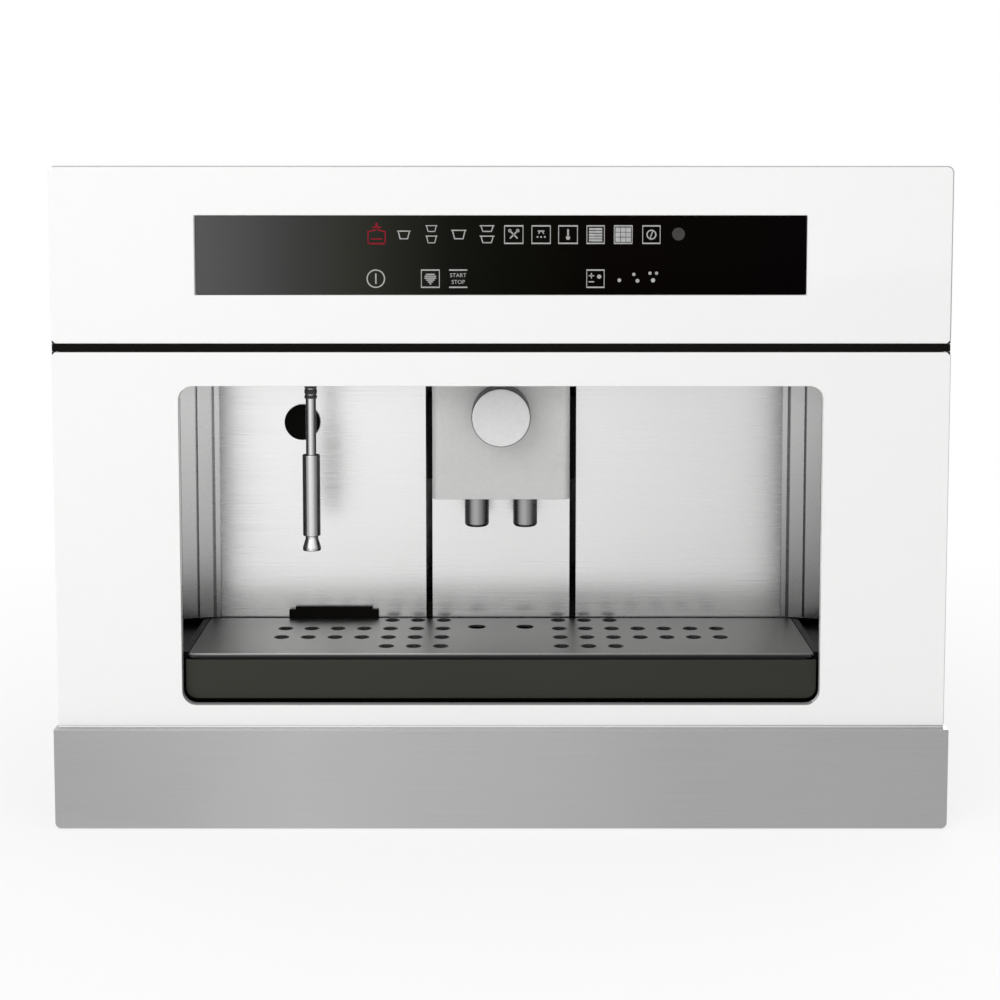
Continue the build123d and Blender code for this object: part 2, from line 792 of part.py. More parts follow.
def make_tray():
    """the pull-out drip tray with its front panel, the drip grid and the grounds bin"""
    panel_back = tray_front_y + tray_panel_thick
    side = tray_half_width - tray_inset
    panel = wall_y(-tray_half_width, tray_half_width, tray_foot, tray_top - tray_panel_drop,
                   tray_front_y, panel_back, window_corner - tray_under)
    save("tray_front", panel)
    tray = block(-side, side, panel_back, tray_rear, tray_foot, tray_top)
    tray = chamfer(tray.edges().filter_by(Axis.Y).group_by(Axis.Z)[0], tray_bevel)
    basin_end = back_wall - tray_wall
    tray -= block(-side + tray_wall, side - tray_wall, panel_back + tray_wall, basin_end,
                  tray_foot + tray_wall, tray_top)
    tray -= block(-side + tray_wall, side - tray_wall, basin_end + tray_wall, tray_rear - tray_wall,
                  tray_foot + tray_wall, tray_top)
    save("drip_tray", tray)

    bin_rear = tray_rear - tray_wall - tray_air
    bin_front = bin_rear - bin_length
    bin_foot = tray_foot + tray_wall
    bin_left = brew_x - bin_half_width
    bin_right = min(brew_x + bin_half_width, side - tray_wall - tray_air)
    outer = wall_z(bin_left, bin_right, bin_front, bin_rear, bin_foot, tray_top, bin_corner)
    save("grounds_bin", outer - wall_z(bin_left + bin_wall, bin_right - bin_wall, bin_front + bin_wall,
                                       bin_rear - bin_wall, bin_foot + bin_wall, tray_top,
                                       bin_corner - bin_wall))

    grid_front = panel_back + grid_front_gap
    grid_back = back_wall - facet_step - tray_air
    plate = wall_z(-tray_half_width, tray_half_width, grid_front, grid_back, tray_top, grid_top)
    lip_foot = grid_top - grid_lip
    lip_back = panel_back + tray_wall + grid_front_gap + grid_thick
    plate += block(-side + tray_wall * 2, side - tray_wall * 2, lip_back - grid_thick, lip_back,
                   lip_foot, tray_top)
    holes = []
    for row in range(grid_rows):
        y = glass_front + grid_row_start + row * grid_row_pitch
        count = grid_short_columns if row in (0, grid_rows - 1) else grid_columns
        for column in range(count):
            for way in (-1, 1):
                x = way * (grid_first_column + column * grid_pitch)
                holes.append(rod_z(x, y, lip_foot, grid_top, grid_hole / 2))
    for way in (-1, 1):
        holes.append(rod_z(way * spout_spacing / 2, spout_y, lip_foot, grid_top, grid_spout_hole / 2))
    save("drip_grid", cut_all(plate, holes))


def hinged_lid(name, lid, x0, x1, hinge_y, low):
    """a thin lid with two hinge barrels at its rear, and the lug that carries their pins"""
    axis_z = low + lid_thick / 2
    reach = lid_thick / 2
    lug = block(x0 + lid_barrel + lid_air, x1 - lid_barrel - lid_air, hinge_y - reach, hinge_y + reach,
                low - lid_air, low + lid_thick)
    lug += rod_x(hinge_y, axis_z, x0 + lid_air, x1 - lid_air, lid_pin)
    for x in (x0, x1 - lid_barrel):
        lid += block(x, x + lid_barrel, hinge_y - lid_reach, hinge_y, low, low + lid_thick)
        lid += rod_x(hinge_y, axis_z, x, x + lid_barrel, reach)
        lid -= rod_x(hinge_y, axis_z, x, x + lid_barrel, lid_pin + lid_pin_fit)
    save(name, lid)
    return lug


def make_tank():
    """the lift-out water tank with a hinged lid, and the cradle that it stands in"""
    tank = tank_outline(tank_foot, tank_top, 0)
    tank -= wall_z(tank_centre_x - tank_half_width + tank_wall, tank_centre_x + tank_half_width - tank_wall,
                   tank_centre_y - tank_half_depth + tank_wall, tank_centre_y + tank_half_depth - tank_wall,
                   tank_foot + tank_wall, tank_top, tank_corner - tank_wall)
    low = tank_top + lid_air
    tank_rear = tank_centre_y + tank_half_depth
    hinge_y = tank_rear - lid_thick / 2
    lid = tank_outline(low, low + lid_thick, 0)
    lid -= block(tank_centre_x - tank_half_width, tank_centre_x + tank_half_width,
                 hinge_y - lid_clear, tank_rear, low, low + lid_thick)
    half = tank_half_width - tank_corner
    lug = hinged_lid("tank_lid", lid, tank_centre_x - half, tank_centre_x + half, hinge_y, low)
    save("water_tank", tank + lug)
    reach = tank_half_depth + cradle_lip
    shelf = block(-body_half + sheet, tank_centre_x + tank_half_width + cradle_lip,
                  tank_centre_y - reach, tank_centre_y + reach, tank_foot - cradle_lip,
                  tank_foot + cradle_lip)
    shelf -= tank_outline(tank_foot, tank_foot + cradle_lip, tank_gap)
    save("tank_cradle", shelf)


def make_grinder():
    """bean hopper with its lid, and the conical grinder under it"""
    top = cover_top
    foot = body_top - hopper_depth
    hopper = hopper_outline(top - hopper_flange, top, 0)
    hopper += cone_z(hopper_x, hopper_y, foot, top, throat_radius * 2, hopper_half_depth)
    hopper -= cone_z(hopper_x, hopper_y, foot + hopper_wall, top, throat_radius * 2 - hopper_wall,
                     hopper_half_depth - hopper_wall)
    hopper -= rod_z(hopper_x, hopper_y, foot, foot + hopper_wall, throat_radius)
    save("bean_hopper", hopper)

    housing_top = foot
    housing_foot = housing_top - grinder_height
    housing = rod_z(hopper_x, hopper_y, housing_foot, housing_top, grinder_radius)
    burr_foot = housing_top - grinder_lid - burr_height
    bore = burr_radius + moving_gap
    housing -= rod_z(hopper_x, hopper_y, burr_foot - moving_gap, housing_top - grinder_lid, bore)
    housing -= rod_z(hopper_x, hopper_y, housing_top - grinder_lid, housing_top, throat_radius)
    stem = burr_shaft + moving_gap
    housing -= rod_z(hopper_x, hopper_y, burr_foot - burr_stem, burr_foot, stem)
    save("grinder_housing", housing)
    cone = cone_z(hopper_x, hopper_y, burr_foot, burr_foot + burr_height - moving_gap, burr_radius,
                  throat_radius)
    save("lower_burr", cone + rod_z(hopper_x, hopper_y, burr_foot - burr_stem + stem_end_gap, burr_foot,
                                    burr_shaft))
    dial = rod_z(dial_x, hopper_y, top + lid_air, top + lid_air + dial_thick, dial_radius)
    turns = [grip * 2 * pi / dial_grips for grip in range(dial_grips)]
    grip = [rod_z(dial_x + dial_radius * cos(turn), hopper_y + dial_radius * sin(turn),
                  top + lid_air, top + lid_air + dial_thick, dial_scallop) for turn in turns]
    dial = cut_all(dial, grip)
    dial += rod_z(dial_x, hopper_y, body_top - dial_stem, top + lid_air, dial_shaft)
    save("grind_dial", dial)


def make_brew_group():
    """the brewing chamber with its piston, driven by a spindle and a motor"""
    x0, x1 = brew_x - brew_width / 2, brew_x + brew_width / 2
    y0, y1 = brew_y - brew_depth / 2, brew_y + brew_depth / 2
    top = deck + brew_height
    frame = block(x0, x1, y0, y1, deck, deck + brew_plate)
    frame += block(x0, x1, y0, y1, top - brew_plate, top)
    for x in (x0, x1 - brew_plate):
        frame += block(x, x + brew_plate, y0, y1, deck, top)
    frame += rod_z(brew_x, brew_chamber_y, deck, deck + chamber_height,
                   chamber_radius + brew_plate)
    frame -= rod_z(brew_x, brew_chamber_y, deck + brew_plate, deck + chamber_height,
                   chamber_radius)
    frame -= rod_z(brew_x, brew_spindle_y, deck, top, spindle_radius + moving_gap)
    save("brew_frame", frame)

    low = deck + chamber_height + moving_gap
    arm_top = low + piston_height
    piston = rod_z(brew_x, brew_chamber_y, low, arm_top, piston_radius)
    piston += block(brew_x - nut_radius, brew_x + nut_radius, brew_chamber_y, brew_spindle_y,
                    arm_top, arm_top + nut_radius)
    piston += rod_z(brew_x, brew_spindle_y, arm_top, arm_top + nut_radius, nut_radius)
    piston -= rod_z(brew_x, brew_spindle_y, low, arm_top + nut_radius, spindle_radius + moving_gap)
    save("brew_piston", piston)
    save("brew_spindle", rod_z(brew_x, brew_spindle_y, deck + moving_gap, top + spindle_stub,
                               spindle_radius))
    motor = rod_z(brew_x, brew_spindle_y, top, top + motor_length, motor_radius)
    save("brew_motor", motor - rod_z(brew_x, brew_spindle_y, top, top + spindle_stub + moving_gap,
                                     spindle_radius + moving_gap))

    x0, x1 = body_half - sheet, body_half
    front = brew_y - service_width / 2 + service_gap
    back = brew_y + service_width / 2 - service_gap
    door = block(x0, x1, front, back, service_foot + service_gap,
                 service_foot + service_height - service_gap)
    for low, panel_knuckle in service_knuckles():
        door += rod_z(body_half, service_hinge_y, low, low + service_knuckle, service_barrel)
        door -= block(x0, x1, service_hinge_y - service_barrel - lid_air, back,
                      panel_knuckle - lid_air, panel_knuckle + service_knuckle + lid_air)
        door -= rod_z(body_half, service_hinge_y, low, low + service_knuckle, service_pin + hinge_fit)
    save("service_door", door)


def make_water_works():
    """boiler, pump and the pipes that run from the tank to the dispenser"""
    save("boiler", rod_z(boiler_x, boiler_y, deck, deck + boiler_height, boiler_radius))
    pump = rod_y(pump_x, pump_z, pump_front, pump_front + pump_length, pump_radius)
    pump += block(pump_x - pump_radius / 2, pump_x + pump_radius / 2, pump_front,
                  pump_front + pump_length, deck, pump_z)
    save("pump", pump)
    suction = rod_z(pump_x, pump_front + pump_length / 2, pump_z + pump_radius,
                    tank_foot - cradle_lip, pipe_radius)
    save("water_pipes", feed_pipe(), pump_pipe(), suction)


def bent_pipe(points, bend, radius, bore):
    path = FilletPolyline(*points, radius=bend)
    start = path @ 0
    section = Plane(start, z_dir=path % 0) * Circle(radius)
    pipe = sweep(section, path)
    if bore:
        pipe -= sweep(Plane(start, z_dir=path % 0) * Circle(bore), path)
    return pipe


def feed_pipe():
    """from the boiler's top, forward over the cavity ceiling and down into the dispenser head"""
    boiler_top = deck + boiler_height
    points = [(boiler_x, boiler_y, boiler_top), (boiler_x, boiler_y, pipe_level),
              (0, boiler_y, pipe_level), (0, spout_y, pipe_level), (0, spout_y, feed_foot)]
    return bent_pipe(points, pipe_bend, feed_radius, pipe_bore)


def pump_pipe():
    """from the back of the pump, up and across to the side of the boiler"""
    back = pump_front + pump_length
    level = deck + boiler_port_rise
    points = [(pump_x, back, pump_z), (pump_x, back + pipe_run, pump_z),
              (boiler_x, back + pipe_run, level), (boiler_x, boiler_y + boiler_radius, level)]
    return bent_pipe(points, pipe_bend, pipe_radius, 0)


def make_electrics():
    """power board, mains inlet and the rocker switch beside it"""
    board = wall_y(board_x, board_x + board_length, board_z, board_z + board_rise,
                   body_rear - board_stand, body_rear - board_stand + board_thick)
    parts = [wall_y(board_x + step, board_x + step + chip_size * 2, board_z + chip_size,
                    board_z + chip_size * 3, body_rear - board_stand - chip_size,
                    body_rear - board_stand)
             for step in [board_part_start + part * board_part_pitch for part in range(board_part_count)]]
    for x in (board_x + chip_thick, board_x + board_length - chip_thick):
        parts.append(rod_y(x, board_z + board_rise - chip_thick, body_rear - board_stand + board_thick,
                           body_rear, chip_thick / 2))
    save("power_board", add_all(board, parts))

    inlet = wall_y(inlet_x - inlet_width / 2, inlet_x + inlet_width / 2, inlet_z - inlet_height / 2,
                   inlet_z + inlet_height / 2, body_rear - inlet_depth, body_rear + sheet)
    socket = wall_y(inlet_x - inlet_bore_width / 2, inlet_x + inlet_bore_width / 2,
                    inlet_z - inlet_bore_height / 2, inlet_z + inlet_bore_height / 2,
                    body_rear + sheet - inlet_bore_depth, body_rear + sheet)
    inlet -= socket
    for step, rise in ((-pin_spacing, -pin_drop), (0.0, pin_drop), (pin_spacing, -pin_drop)):
        inlet += wall_y(inlet_x + step - pin_width / 2, inlet_x + step + pin_width / 2,
                        inlet_z + rise - pin_width, inlet_z + rise + pin_width,
                        body_rear + sheet - inlet_bore_depth, body_rear + sheet - pin_recess)

    case = wall_y(switch_x - switch_width / 2, switch_x + switch_width / 2, inlet_z - inlet_height / 2,
                  inlet_z + inlet_height / 2, body_rear - inlet_depth, body_rear + sheet)
    hollow = wall_y(switch_x - rocker_half - moving_gap, switch_x + rocker_half + moving_gap,
                    inlet_z - rocker_reach - 1, inlet_z + rocker_reach + 1, body_rear - rocker_reach,
                    body_rear + sheet)
    case -= hollow
    case -= rod_x(body_rear, inlet_z, switch_x - rocker_half - trunnion_length - moving_gap,
                  switch_x + rocker_half + trunnion_length + moving_gap, trunnion_radius + hinge_fit)
    save("mains_inlet", inlet + case)
    plane = Plane((switch_x - rocker_half, body_rear, inlet_z), (0, 1, 0), (1, 0, 0))
    outline = Polyline((-rocker_core, 0), (rocker_rise, -rocker_reach), (rocker_dip, 0),
                       (rocker_rise, rocker_reach), close=True)
    rocker = extrude(plane * make_face(outline), rocker_half * 2)
    rocker += rod_x(body_rear, inlet_z, switch_x - rocker_half - trunnion_length,
                    switch_x + rocker_half + trunnion_length, trunnion_radius)
    save("power_switch", rocker)


def make_screws():
    """the countersunk screws that hold the rear cover, as one group"""
    screws = []
    for x in (-body_half + screw_inset, 0.0, body_half - screw_inset):
        for z in (screw_foot, body_top - screw_inset):
            head = rod_y(x, z, body_rear + sheet, body_rear + sheet + screw_head, screw_radius)
            slot = block(x - screw_radius, x + screw_radius, body_rear + sheet + screw_head / 2,
                         body_rear + sheet + screw_head, z - screw_slot / 2, z + screw_slot / 2)
            screws.append(head - slot)
    save("panel_screws", *screws)


os.makedirs("parts", exist_ok=True)
make_door()
make_hinges()
make_front()
make_shell()
make_guides()
make_cavity()
make_head()
make_wand()
make_tray()
make_tank()
make_grinder()
make_brew_group()
make_water_works()
make_electrics()
make_screws()
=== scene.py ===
import json
import math

import bpy
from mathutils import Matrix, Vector


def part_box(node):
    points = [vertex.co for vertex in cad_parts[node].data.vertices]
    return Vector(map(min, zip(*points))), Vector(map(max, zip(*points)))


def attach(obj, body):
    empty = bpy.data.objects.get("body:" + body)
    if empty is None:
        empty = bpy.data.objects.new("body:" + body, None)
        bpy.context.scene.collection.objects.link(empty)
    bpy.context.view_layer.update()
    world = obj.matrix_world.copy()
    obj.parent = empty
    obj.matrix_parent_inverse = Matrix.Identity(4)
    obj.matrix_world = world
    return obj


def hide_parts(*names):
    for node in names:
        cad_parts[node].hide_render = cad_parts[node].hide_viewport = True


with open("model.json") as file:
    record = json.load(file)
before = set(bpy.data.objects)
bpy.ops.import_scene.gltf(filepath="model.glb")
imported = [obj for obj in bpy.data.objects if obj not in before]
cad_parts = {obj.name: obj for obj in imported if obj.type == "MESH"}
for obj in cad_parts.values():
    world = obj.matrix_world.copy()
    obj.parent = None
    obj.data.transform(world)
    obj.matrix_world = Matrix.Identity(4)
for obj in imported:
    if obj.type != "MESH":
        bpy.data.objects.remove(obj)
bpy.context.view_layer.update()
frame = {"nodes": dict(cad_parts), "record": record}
nodes = frame["nodes"]
mm = 0.001
facing, square = 0.9, 0.999  # how far a face's normal must lie along a direction to be picked
print("frame loaded:", len(nodes), "nodes")


# small helpers for selecting and shaping
def deselectAll():
    for other in bpy.context.selected_objects:
        other.select_set(False)


def activate(piece):
    deselectAll()
    piece.select_set(True)
    bpy.context.view_layer.objects.active = piece


def editMode():
    bpy.ops.object.mode_set(mode="EDIT")


def objectMode():
    bpy.ops.object.mode_set(mode="OBJECT")


def selectAll():
    bpy.ops.mesh.select_all(action="SELECT")


def applyPlace(piece):
    activate(piece)
    bpy.ops.object.transform_apply(location=True, rotation=True, scale=True)


def applyModifiers(piece):
    activate(piece)
    for modifier in list(piece.modifiers):
        bpy.ops.object.modifier_apply(modifier=modifier.name)


def smooth(piece, angle=35):
    activate(piece)
    bpy.ops.object.shade_smooth_by_angle(angle=math.radians(angle))


def bevelEdges(piece, width, segments, angle=40):
    bevel = piece.modifiers.new("edge", "BEVEL")
    bevel.width = width * mm
    bevel.segments = segments
    bevel.limit_method = "ANGLE"
    bevel.angle_limit = math.radians(angle)
    bevel.use_clamp_overlap = True
    applyModifiers(piece)


def joinPieces(pieces, name):
    deselectAll()
    for piece in pieces:
        piece.select_set(True)
    bpy.context.view_layer.objects.active = pieces[0]
    if len(pieces) > 1:
        bpy.ops.object.join()
    joined = bpy.context.view_layer.objects.active
    joined.name = name
    return joined


def sheetBox(name, low, high):
    # a plain block between two corners in millimetres, to be shaped further
    middle = [(a + b) / 2 * mm for a, b in zip(low, high)]
    bpy.ops.mesh.primitive_cube_add(size=1, location=middle,
                                    scale=[(b - a) * mm for a, b in zip(low, high)])
    piece = bpy.context.object
    piece.name = name
    applyPlace(piece)
    return piece


def clearPicks(piece, kind):
    # nothing of the mesh stays selected, ready to pick vertices, edges or faces
    activate(piece)
    editMode()
    bpy.ops.mesh.select_mode(type=kind)
    bpy.ops.mesh.select_all(action="DESELECT")
    objectMode()


def selectFaces(piece, wanted):
    # selects the faces for which wanted(centre, normal) is true, then opens edit mode on them
    clearPicks(piece, "FACE")
    for face in piece.data.polygons:
        face.select = bool(wanted(face.center, face.normal))
    editMode()


def bevelCorners(piece, width, segments, wanted):
    # rounds only the edges for which wanted(first end, second end) is true
    clearPicks(piece, "EDGE")
    points = piece.data.vertices
    for edge in piece.data.edges:
        edge.select = bool(wanted(points[edge.vertices[0]].co, points[edge.vertices[1]].co))
    editMode()
    bpy.ops.mesh.bevel(offset=width * mm, segments=segments)
    objectMode()


def copiesAt(first, steps):
    # copies of a piece, each with its own mesh, moved by a step in millimetres
    copies = []
    for step in steps:
        twin = first.copy()
        twin.data = first.data.copy()
        bpy.context.scene.collection.objects.link(twin)
        twin.location = [part * mm for part in step]
        applyPlace(twin)
        copies.append(twin)
    return copies


def finishPiece(piece, body, finish, slot=None, standsFor=()):
    # settles a piece: its place, finish, body and the nodes it stands for; its slot is not used
    slot = slot or finish
    applyPlace(piece)
    piece.data.materials.clear()
    piece.data.materials.append(finishes[finish])
    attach(piece, body)
    if standsFor:
        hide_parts(*standsFor)


def flattenShading(piece):
    # keeps wide flat faces flat beside their rounded edges
    weighted = piece.modifiers.new("shading", "WEIGHTED_NORMAL")
    weighted.keep_sharp = True
    weighted.weight = 50
    applyModifiers(piece)


def softenedCopy(nodeName, width, segments, smoothTo):
    # the CAD node's own shape with merged doubles, whole faces and rounded edges
    values = {"weld": 0.005, "flat": 0.4}
    original = nodes[nodeName]
    copy = bpy.data.objects.new(nodeName + ".soft", original.data.copy())
    bpy.context.scene.collection.objects.link(copy)
    activate(copy)
    editMode()
    selectAll()
    bpy.ops.mesh.customdata_custom_splitnormals_clear()
    bpy.ops.mesh.remove_doubles(threshold=values["weld"] * mm)
    bpy.ops.mesh.dissolve_limited(angle_limit=math.radians(values["flat"]))
    objectMode()
    if width:
        bevelEdges(copy, width, segments)
    smooth(copy, smoothTo)
    flattenShading(copy)
    return copy


def easedBlock(name, body, values, finish, slot=None):
    # a finished block between two corners, with rounded edges
    piece = sheetBox(name, values["low"], values["high"])
    bevelEdges(piece, values["edge"], values["segments"])
    smooth(piece)
    finishPiece(piece, body, finish, slot)


# the materials, each built from nodes on Object coordinates
noiseLow, noiseHigh = 0.3, 0.7  # most of a noise lies between these


def startMaterial(name):
    material = bpy.data.materials.new(name)
    material.use_nodes = True
    shader = material.node_tree.nodes["Principled BSDF"]
    return material, material.node_tree, shader


def setTone(tree, shader, tone, metallic=0.0):
    tree.links.new(tone, shader.inputs["Base Color"])
    shader.inputs["Metallic"].default_value = metallic


def addNode(tree, kind, **values):
    node = tree.nodes.new(kind)
    for key, value in values.items():
        if hasattr(node, key):
            setattr(node, key, value)
        else:
            node.inputs[key].default_value = value
    return node


def objectNoise(tree, scale, stretch=(1, 1, 1), detail=4, roughness=0.5):
    # noise on Object coordinates; a stretch that differs by axis draws streaks
    place = addNode(tree, "ShaderNodeTexCoord")
    mapping = addNode(tree, "ShaderNodeMapping", Scale=stretch)
    noise = addNode(tree, "ShaderNodeTexNoise", Scale=scale, Detail=detail, Roughness=roughness)
    tree.links.new(place.outputs["Object"], mapping.inputs["Vector"])
    tree.links.new(mapping.outputs["Vector"], noise.inputs["Vector"])
    return noise.outputs["Fac"]


def ramp(tree, source, stops):
    # a colour ramp with the given (place, colour) stops
    node = tree.nodes.new("ShaderNodeValToRGB")
    elements = node.color_ramp.elements
    while len(elements) > 1:
        elements.remove(elements[-1])
    elements[0].position = stops[0][0]
    elements[0].color = (*stops[0][1], 1)
    for place, colour in stops[1:]:
        element = elements.new(place)
        element.color = (*colour, 1)
    tree.links.new(source, node.inputs["Fac"])
    return node.outputs["Color"]


def greys(stops, start=0.0):
    # grey colours from (place, share) stops, counted from a start
    return [(at + start, (share, share, share)) for at, share in stops]


def mapped(tree, source, reach, result=(0.0, 1.0)):
    # maps the reach of a value to a range of results
    node = addNode(tree, "ShaderNodeMapRange")
    for name, value in zip(("From Min", "From Max", "To Min", "To Max"), (*reach, *result)):
        node.inputs[name].default_value = value
    tree.links.new(source, node.inputs["Value"])
    return node.outputs["Result"]


def objectAxis(tree, axis):
    # one Object coordinate of the surface
    place = addNode(tree, "ShaderNodeTexCoord")
    axes = addNode(tree, "ShaderNodeSeparateXYZ")
    tree.links.new(place.outputs["Object"], axes.inputs["Vector"])
    return axes.outputs[axis]


def spread(tree, source, low, high):
    # maps a 0..1 noise to a range of values
    return mapped(tree, source, (noiseLow, noiseHigh), (low, high))


def setGloss(tree, shader, source, roughness, change):
    # roughness that wanders by a change with a noise
    tree.links.new(spread(tree, source, roughness - change, roughness + change),
                   shader.inputs["Roughness"])


def bump(tree, shader, source, strength, distance):
    node = addNode(tree, "ShaderNodeBump", Strength=strength, Distance=distance)
    tree.links.new(source, node.inputs["Height"])
    tree.links.new(node.outputs["Normal"], shader.inputs["Normal"])


def slowShares(tree, axis, stops):
    # a slow grey change along one object axis, from (place in metres, share) stops
    half = 0.5
    source = mapped(tree, objectAxis(tree, axis), (-half, half))
    return ramp(tree, source, greys(stops, half))


def facingShares(tree, direction, stops):
    # greys chosen by how far the surface faces one direction, from (dot product, share) stops
    place = addNode(tree, "ShaderNodeTexCoord")
    turned = addNode(tree, "ShaderNodeVectorMath", operation="DOT_PRODUCT")
    turned.inputs[1].default_value = direction
    tree.links.new(place.outputs["Normal"], turned.inputs[0])
    return ramp(tree, turned.outputs["Value"], greys(stops))


def wanderingTone(tree, source, colour, change):
    # the colour, made a little darker and lighter by a noise
    dark = tuple(part * (1 - change) for part in colour)
    light = tuple(min(1.0, part * (1 + change)) for part in colour)
    return ramp(tree, source, [(noiseLow, dark), (noiseHigh, light)])


def multiplied(tree, tone, shares):
    product = addNode(tree, "ShaderNodeMix", data_type="RGBA", blend_type="MULTIPLY", Factor=1.0)
    tree.links.new(tone, product.inputs["A"])
    tree.links.new(shares, product.inputs["B"])
    return product.outputs["Result"]


def mottledMaterial(name, colour, change, scale, roughness, metallic=0.0, grain=0.0,
                    roughChange=0.08, coat=0.0, specular=0.5, broad=(), turned=()):
    # moulded or painted surface with small changes of tone and gloss
    # broad and turned paint light and shade on it, by place and by the way it faces
    values = {"coatGloss": 0.03, "grainDepth": 0.0002}
    material, tree, shader = startMaterial(name)
    shader.inputs["Specular IOR Level"].default_value = specular
    noise = objectNoise(tree, scale)
    tone = wanderingTone(tree, noise, colour, change)
    for axis, stops in broad:
        tone = multiplied(tree, tone, slowShares(tree, axis, stops))
    for direction, stops in turned:
        tone = multiplied(tree, tone, facingShares(tree, direction, stops))
    setTone(tree, shader, tone, metallic)
    setGloss(tree, shader, noise, roughness, roughChange)
    if coat:
        shader.inputs["Coat Weight"].default_value = coat
        shader.inputs["Coat Roughness"].default_value = values["coatGloss"]
    if grain:
        bump(tree, shader, noise, grain, values["grainDepth"])
    return material


def brushedMaterial(name, colour, roughness, streak=0.04, blotch=0.04, relief=0.02, broad=()):
    # drawn steel: long thin streaks along X over slow cloudy changes
    # broad gives the slow changes of tone across the sheet, as (axis, (place, share) stops); they are
    # mostly painted light and shade
    values = {"fine": 1100, "length": 90, "clouds": 7.0, "roughChange": 0.04, "depth": 0.00005}
    material, tree, shader = startMaterial(name)
    stretch = (values["fine"] / values["length"], values["fine"], values["fine"])
    lines = objectNoise(tree, 1.0, stretch, detail=5, roughness=0.6)
    clouds = objectNoise(tree, values["clouds"], detail=3)
    change = streak + blotch
    mix = addNode(tree, "ShaderNodeMix", data_type="FLOAT", Factor=blotch / change)
    tree.links.new(lines, mix.inputs["A"])
    tree.links.new(clouds, mix.inputs["B"])
    tone = wanderingTone(tree, mix.outputs["Result"], colour, change)
    for axis, stops in broad:
        tone = multiplied(tree, tone, slowShares(tree, axis, stops))
    setTone(tree, shader, tone, metallic=1.0)
    setGloss(tree, shader, lines, roughness, values["roughChange"])
    bump(tree, shader, lines, relief, values["depth"])
    return material


def edgedSteelMaterial(name, stops, roughness):
    # polished tube with a painted reflection: its colour turns darker towards its outline, as if it
    # mirrored dark surroundings
    values = {"noise": 40.0, "roughChange": 0.03, "blend": 0.5}
    material, tree, shader = startMaterial(name)
    noise = objectNoise(tree, values["noise"])
    weight = addNode(tree, "ShaderNodeLayerWeight", Blend=values["blend"])
    setTone(tree, shader, ramp(tree, weight.outputs["Facing"], greys(stops)), metallic=1.0)
    setGloss(tree, shader, noise, roughness, values["roughChange"])
    return material


def whiteGlassMaterial():
    # clear glass painted white behind: an even gloss, and painted shade that turns its cut edges grey
    # to the right and above
    values = {"paint": (0.94, 0.945, 0.94), "change": 0.006, "clouds": 3.0, "gloss": 0.045,
              "glossChange": 0.01, "coat": 0.4,
              # painted shade: cut edges facing right and up are greyer
              "edges": ((0.8, 0.0, 0.6), ((0.0, 1.0), (0.06, 1.0), (0.14, 0.45), (1.0, 0.4)))}
    return mottledMaterial("whiteGlass", values["paint"], values["change"], values["clouds"],
                           values["gloss"], roughChange=values["glossChange"], coat=values["coat"],
                           turned=(values["edges"],))


def displayGlassMaterial():
    # smoked glass with a painted reflection: greyer at the left, as if mirroring a soft light there
    values = {"left": -0.2, "right": 0.2, "noise": 9.0, "gloss": 0.09, "glossChange": 0.02,
              "specular": 0.02,
              # painted reflection: grey at the left fading to black at the right
              "stops": ((0.017, (0.09, 0.09, 0.09)), (0.083, (0.071, 0.071, 0.071)),
                        (0.166, (0.046, 0.046, 0.045)), (0.25, (0.03, 0.031, 0.025)),
                        (0.33, (0.017, 0.0175, 0.0135)), (0.415, (0.0065, 0.007, 0.005)),
                        (0.5, (0.0035, 0.0038, 0.002)), (0.665, (0.0015, 0.0006, 0.0002)),
                        (1.0, (0.001, 0.0002, 0.0004)))}
    material, tree, shader = startMaterial("displayGlass")
    across = mapped(tree, objectAxis(tree, "X"), (values["left"], values["right"]))
    setTone(tree, shader, ramp(tree, across, values["stops"]))
    noise = objectNoise(tree, values["noise"])
    setGloss(tree, shader, noise, values["gloss"], values["glossChange"])
    shader.inputs["Specular IOR Level"].default_value = values["specular"]
    return material


def zincMaterial(name, colour, roughness):
    # galvanised sheet: crystal spangle over a dull metal
    values = {"spangle": 95.0, "dark": 0.95, "light": 1.04, "roughChange": 0.05}
    material, tree, shader = startMaterial(name)
    place = addNode(tree, "ShaderNodeTexCoord")
    spangle = addNode(tree, "ShaderNodeTexVoronoi", Scale=values["spangle"])
    tree.links.new(place.outputs["Object"], spangle.inputs["Vector"])
    axes = addNode(tree, "ShaderNodeSeparateColor")
    tree.links.new(spangle.outputs["Color"], axes.inputs["Color"])
    dark = tuple(part * values["dark"] for part in colour)
    light = tuple(min(1.0, part * values["light"]) for part in colour)
    tone = ramp(tree, axes.outputs["Red"], [(0.0, dark), (1.0, light)])
    setTone(tree, shader, tone, metallic=1.0)
    setGloss(tree, shader, axes.outputs["Green"], roughness, values["roughChange"])
    return material


def clearMaterial(name, colour, roughness, ior):
    # see-through moulded plastic with a faint flow pattern
    values = {"flow": 14.0, "dark": 0.97, "smoothest": 0.7, "roughest": 1.3}
    material, tree, shader = startMaterial(name)
    noise = objectNoise(tree, values["flow"])
    dark = tuple(part * values["dark"] for part in colour)
    setTone(tree, shader, ramp(tree, noise, [(noiseLow, dark), (noiseHigh, colour)]))
    gloss = spread(tree, noise, roughness * values["smoothest"], roughness * values["roughest"])
    tree.links.new(gloss, shader.inputs["Roughness"])
    shader.inputs["Transmission Weight"].default_value = 1.0
    shader.inputs["IOR"].default_value = ior
    return material


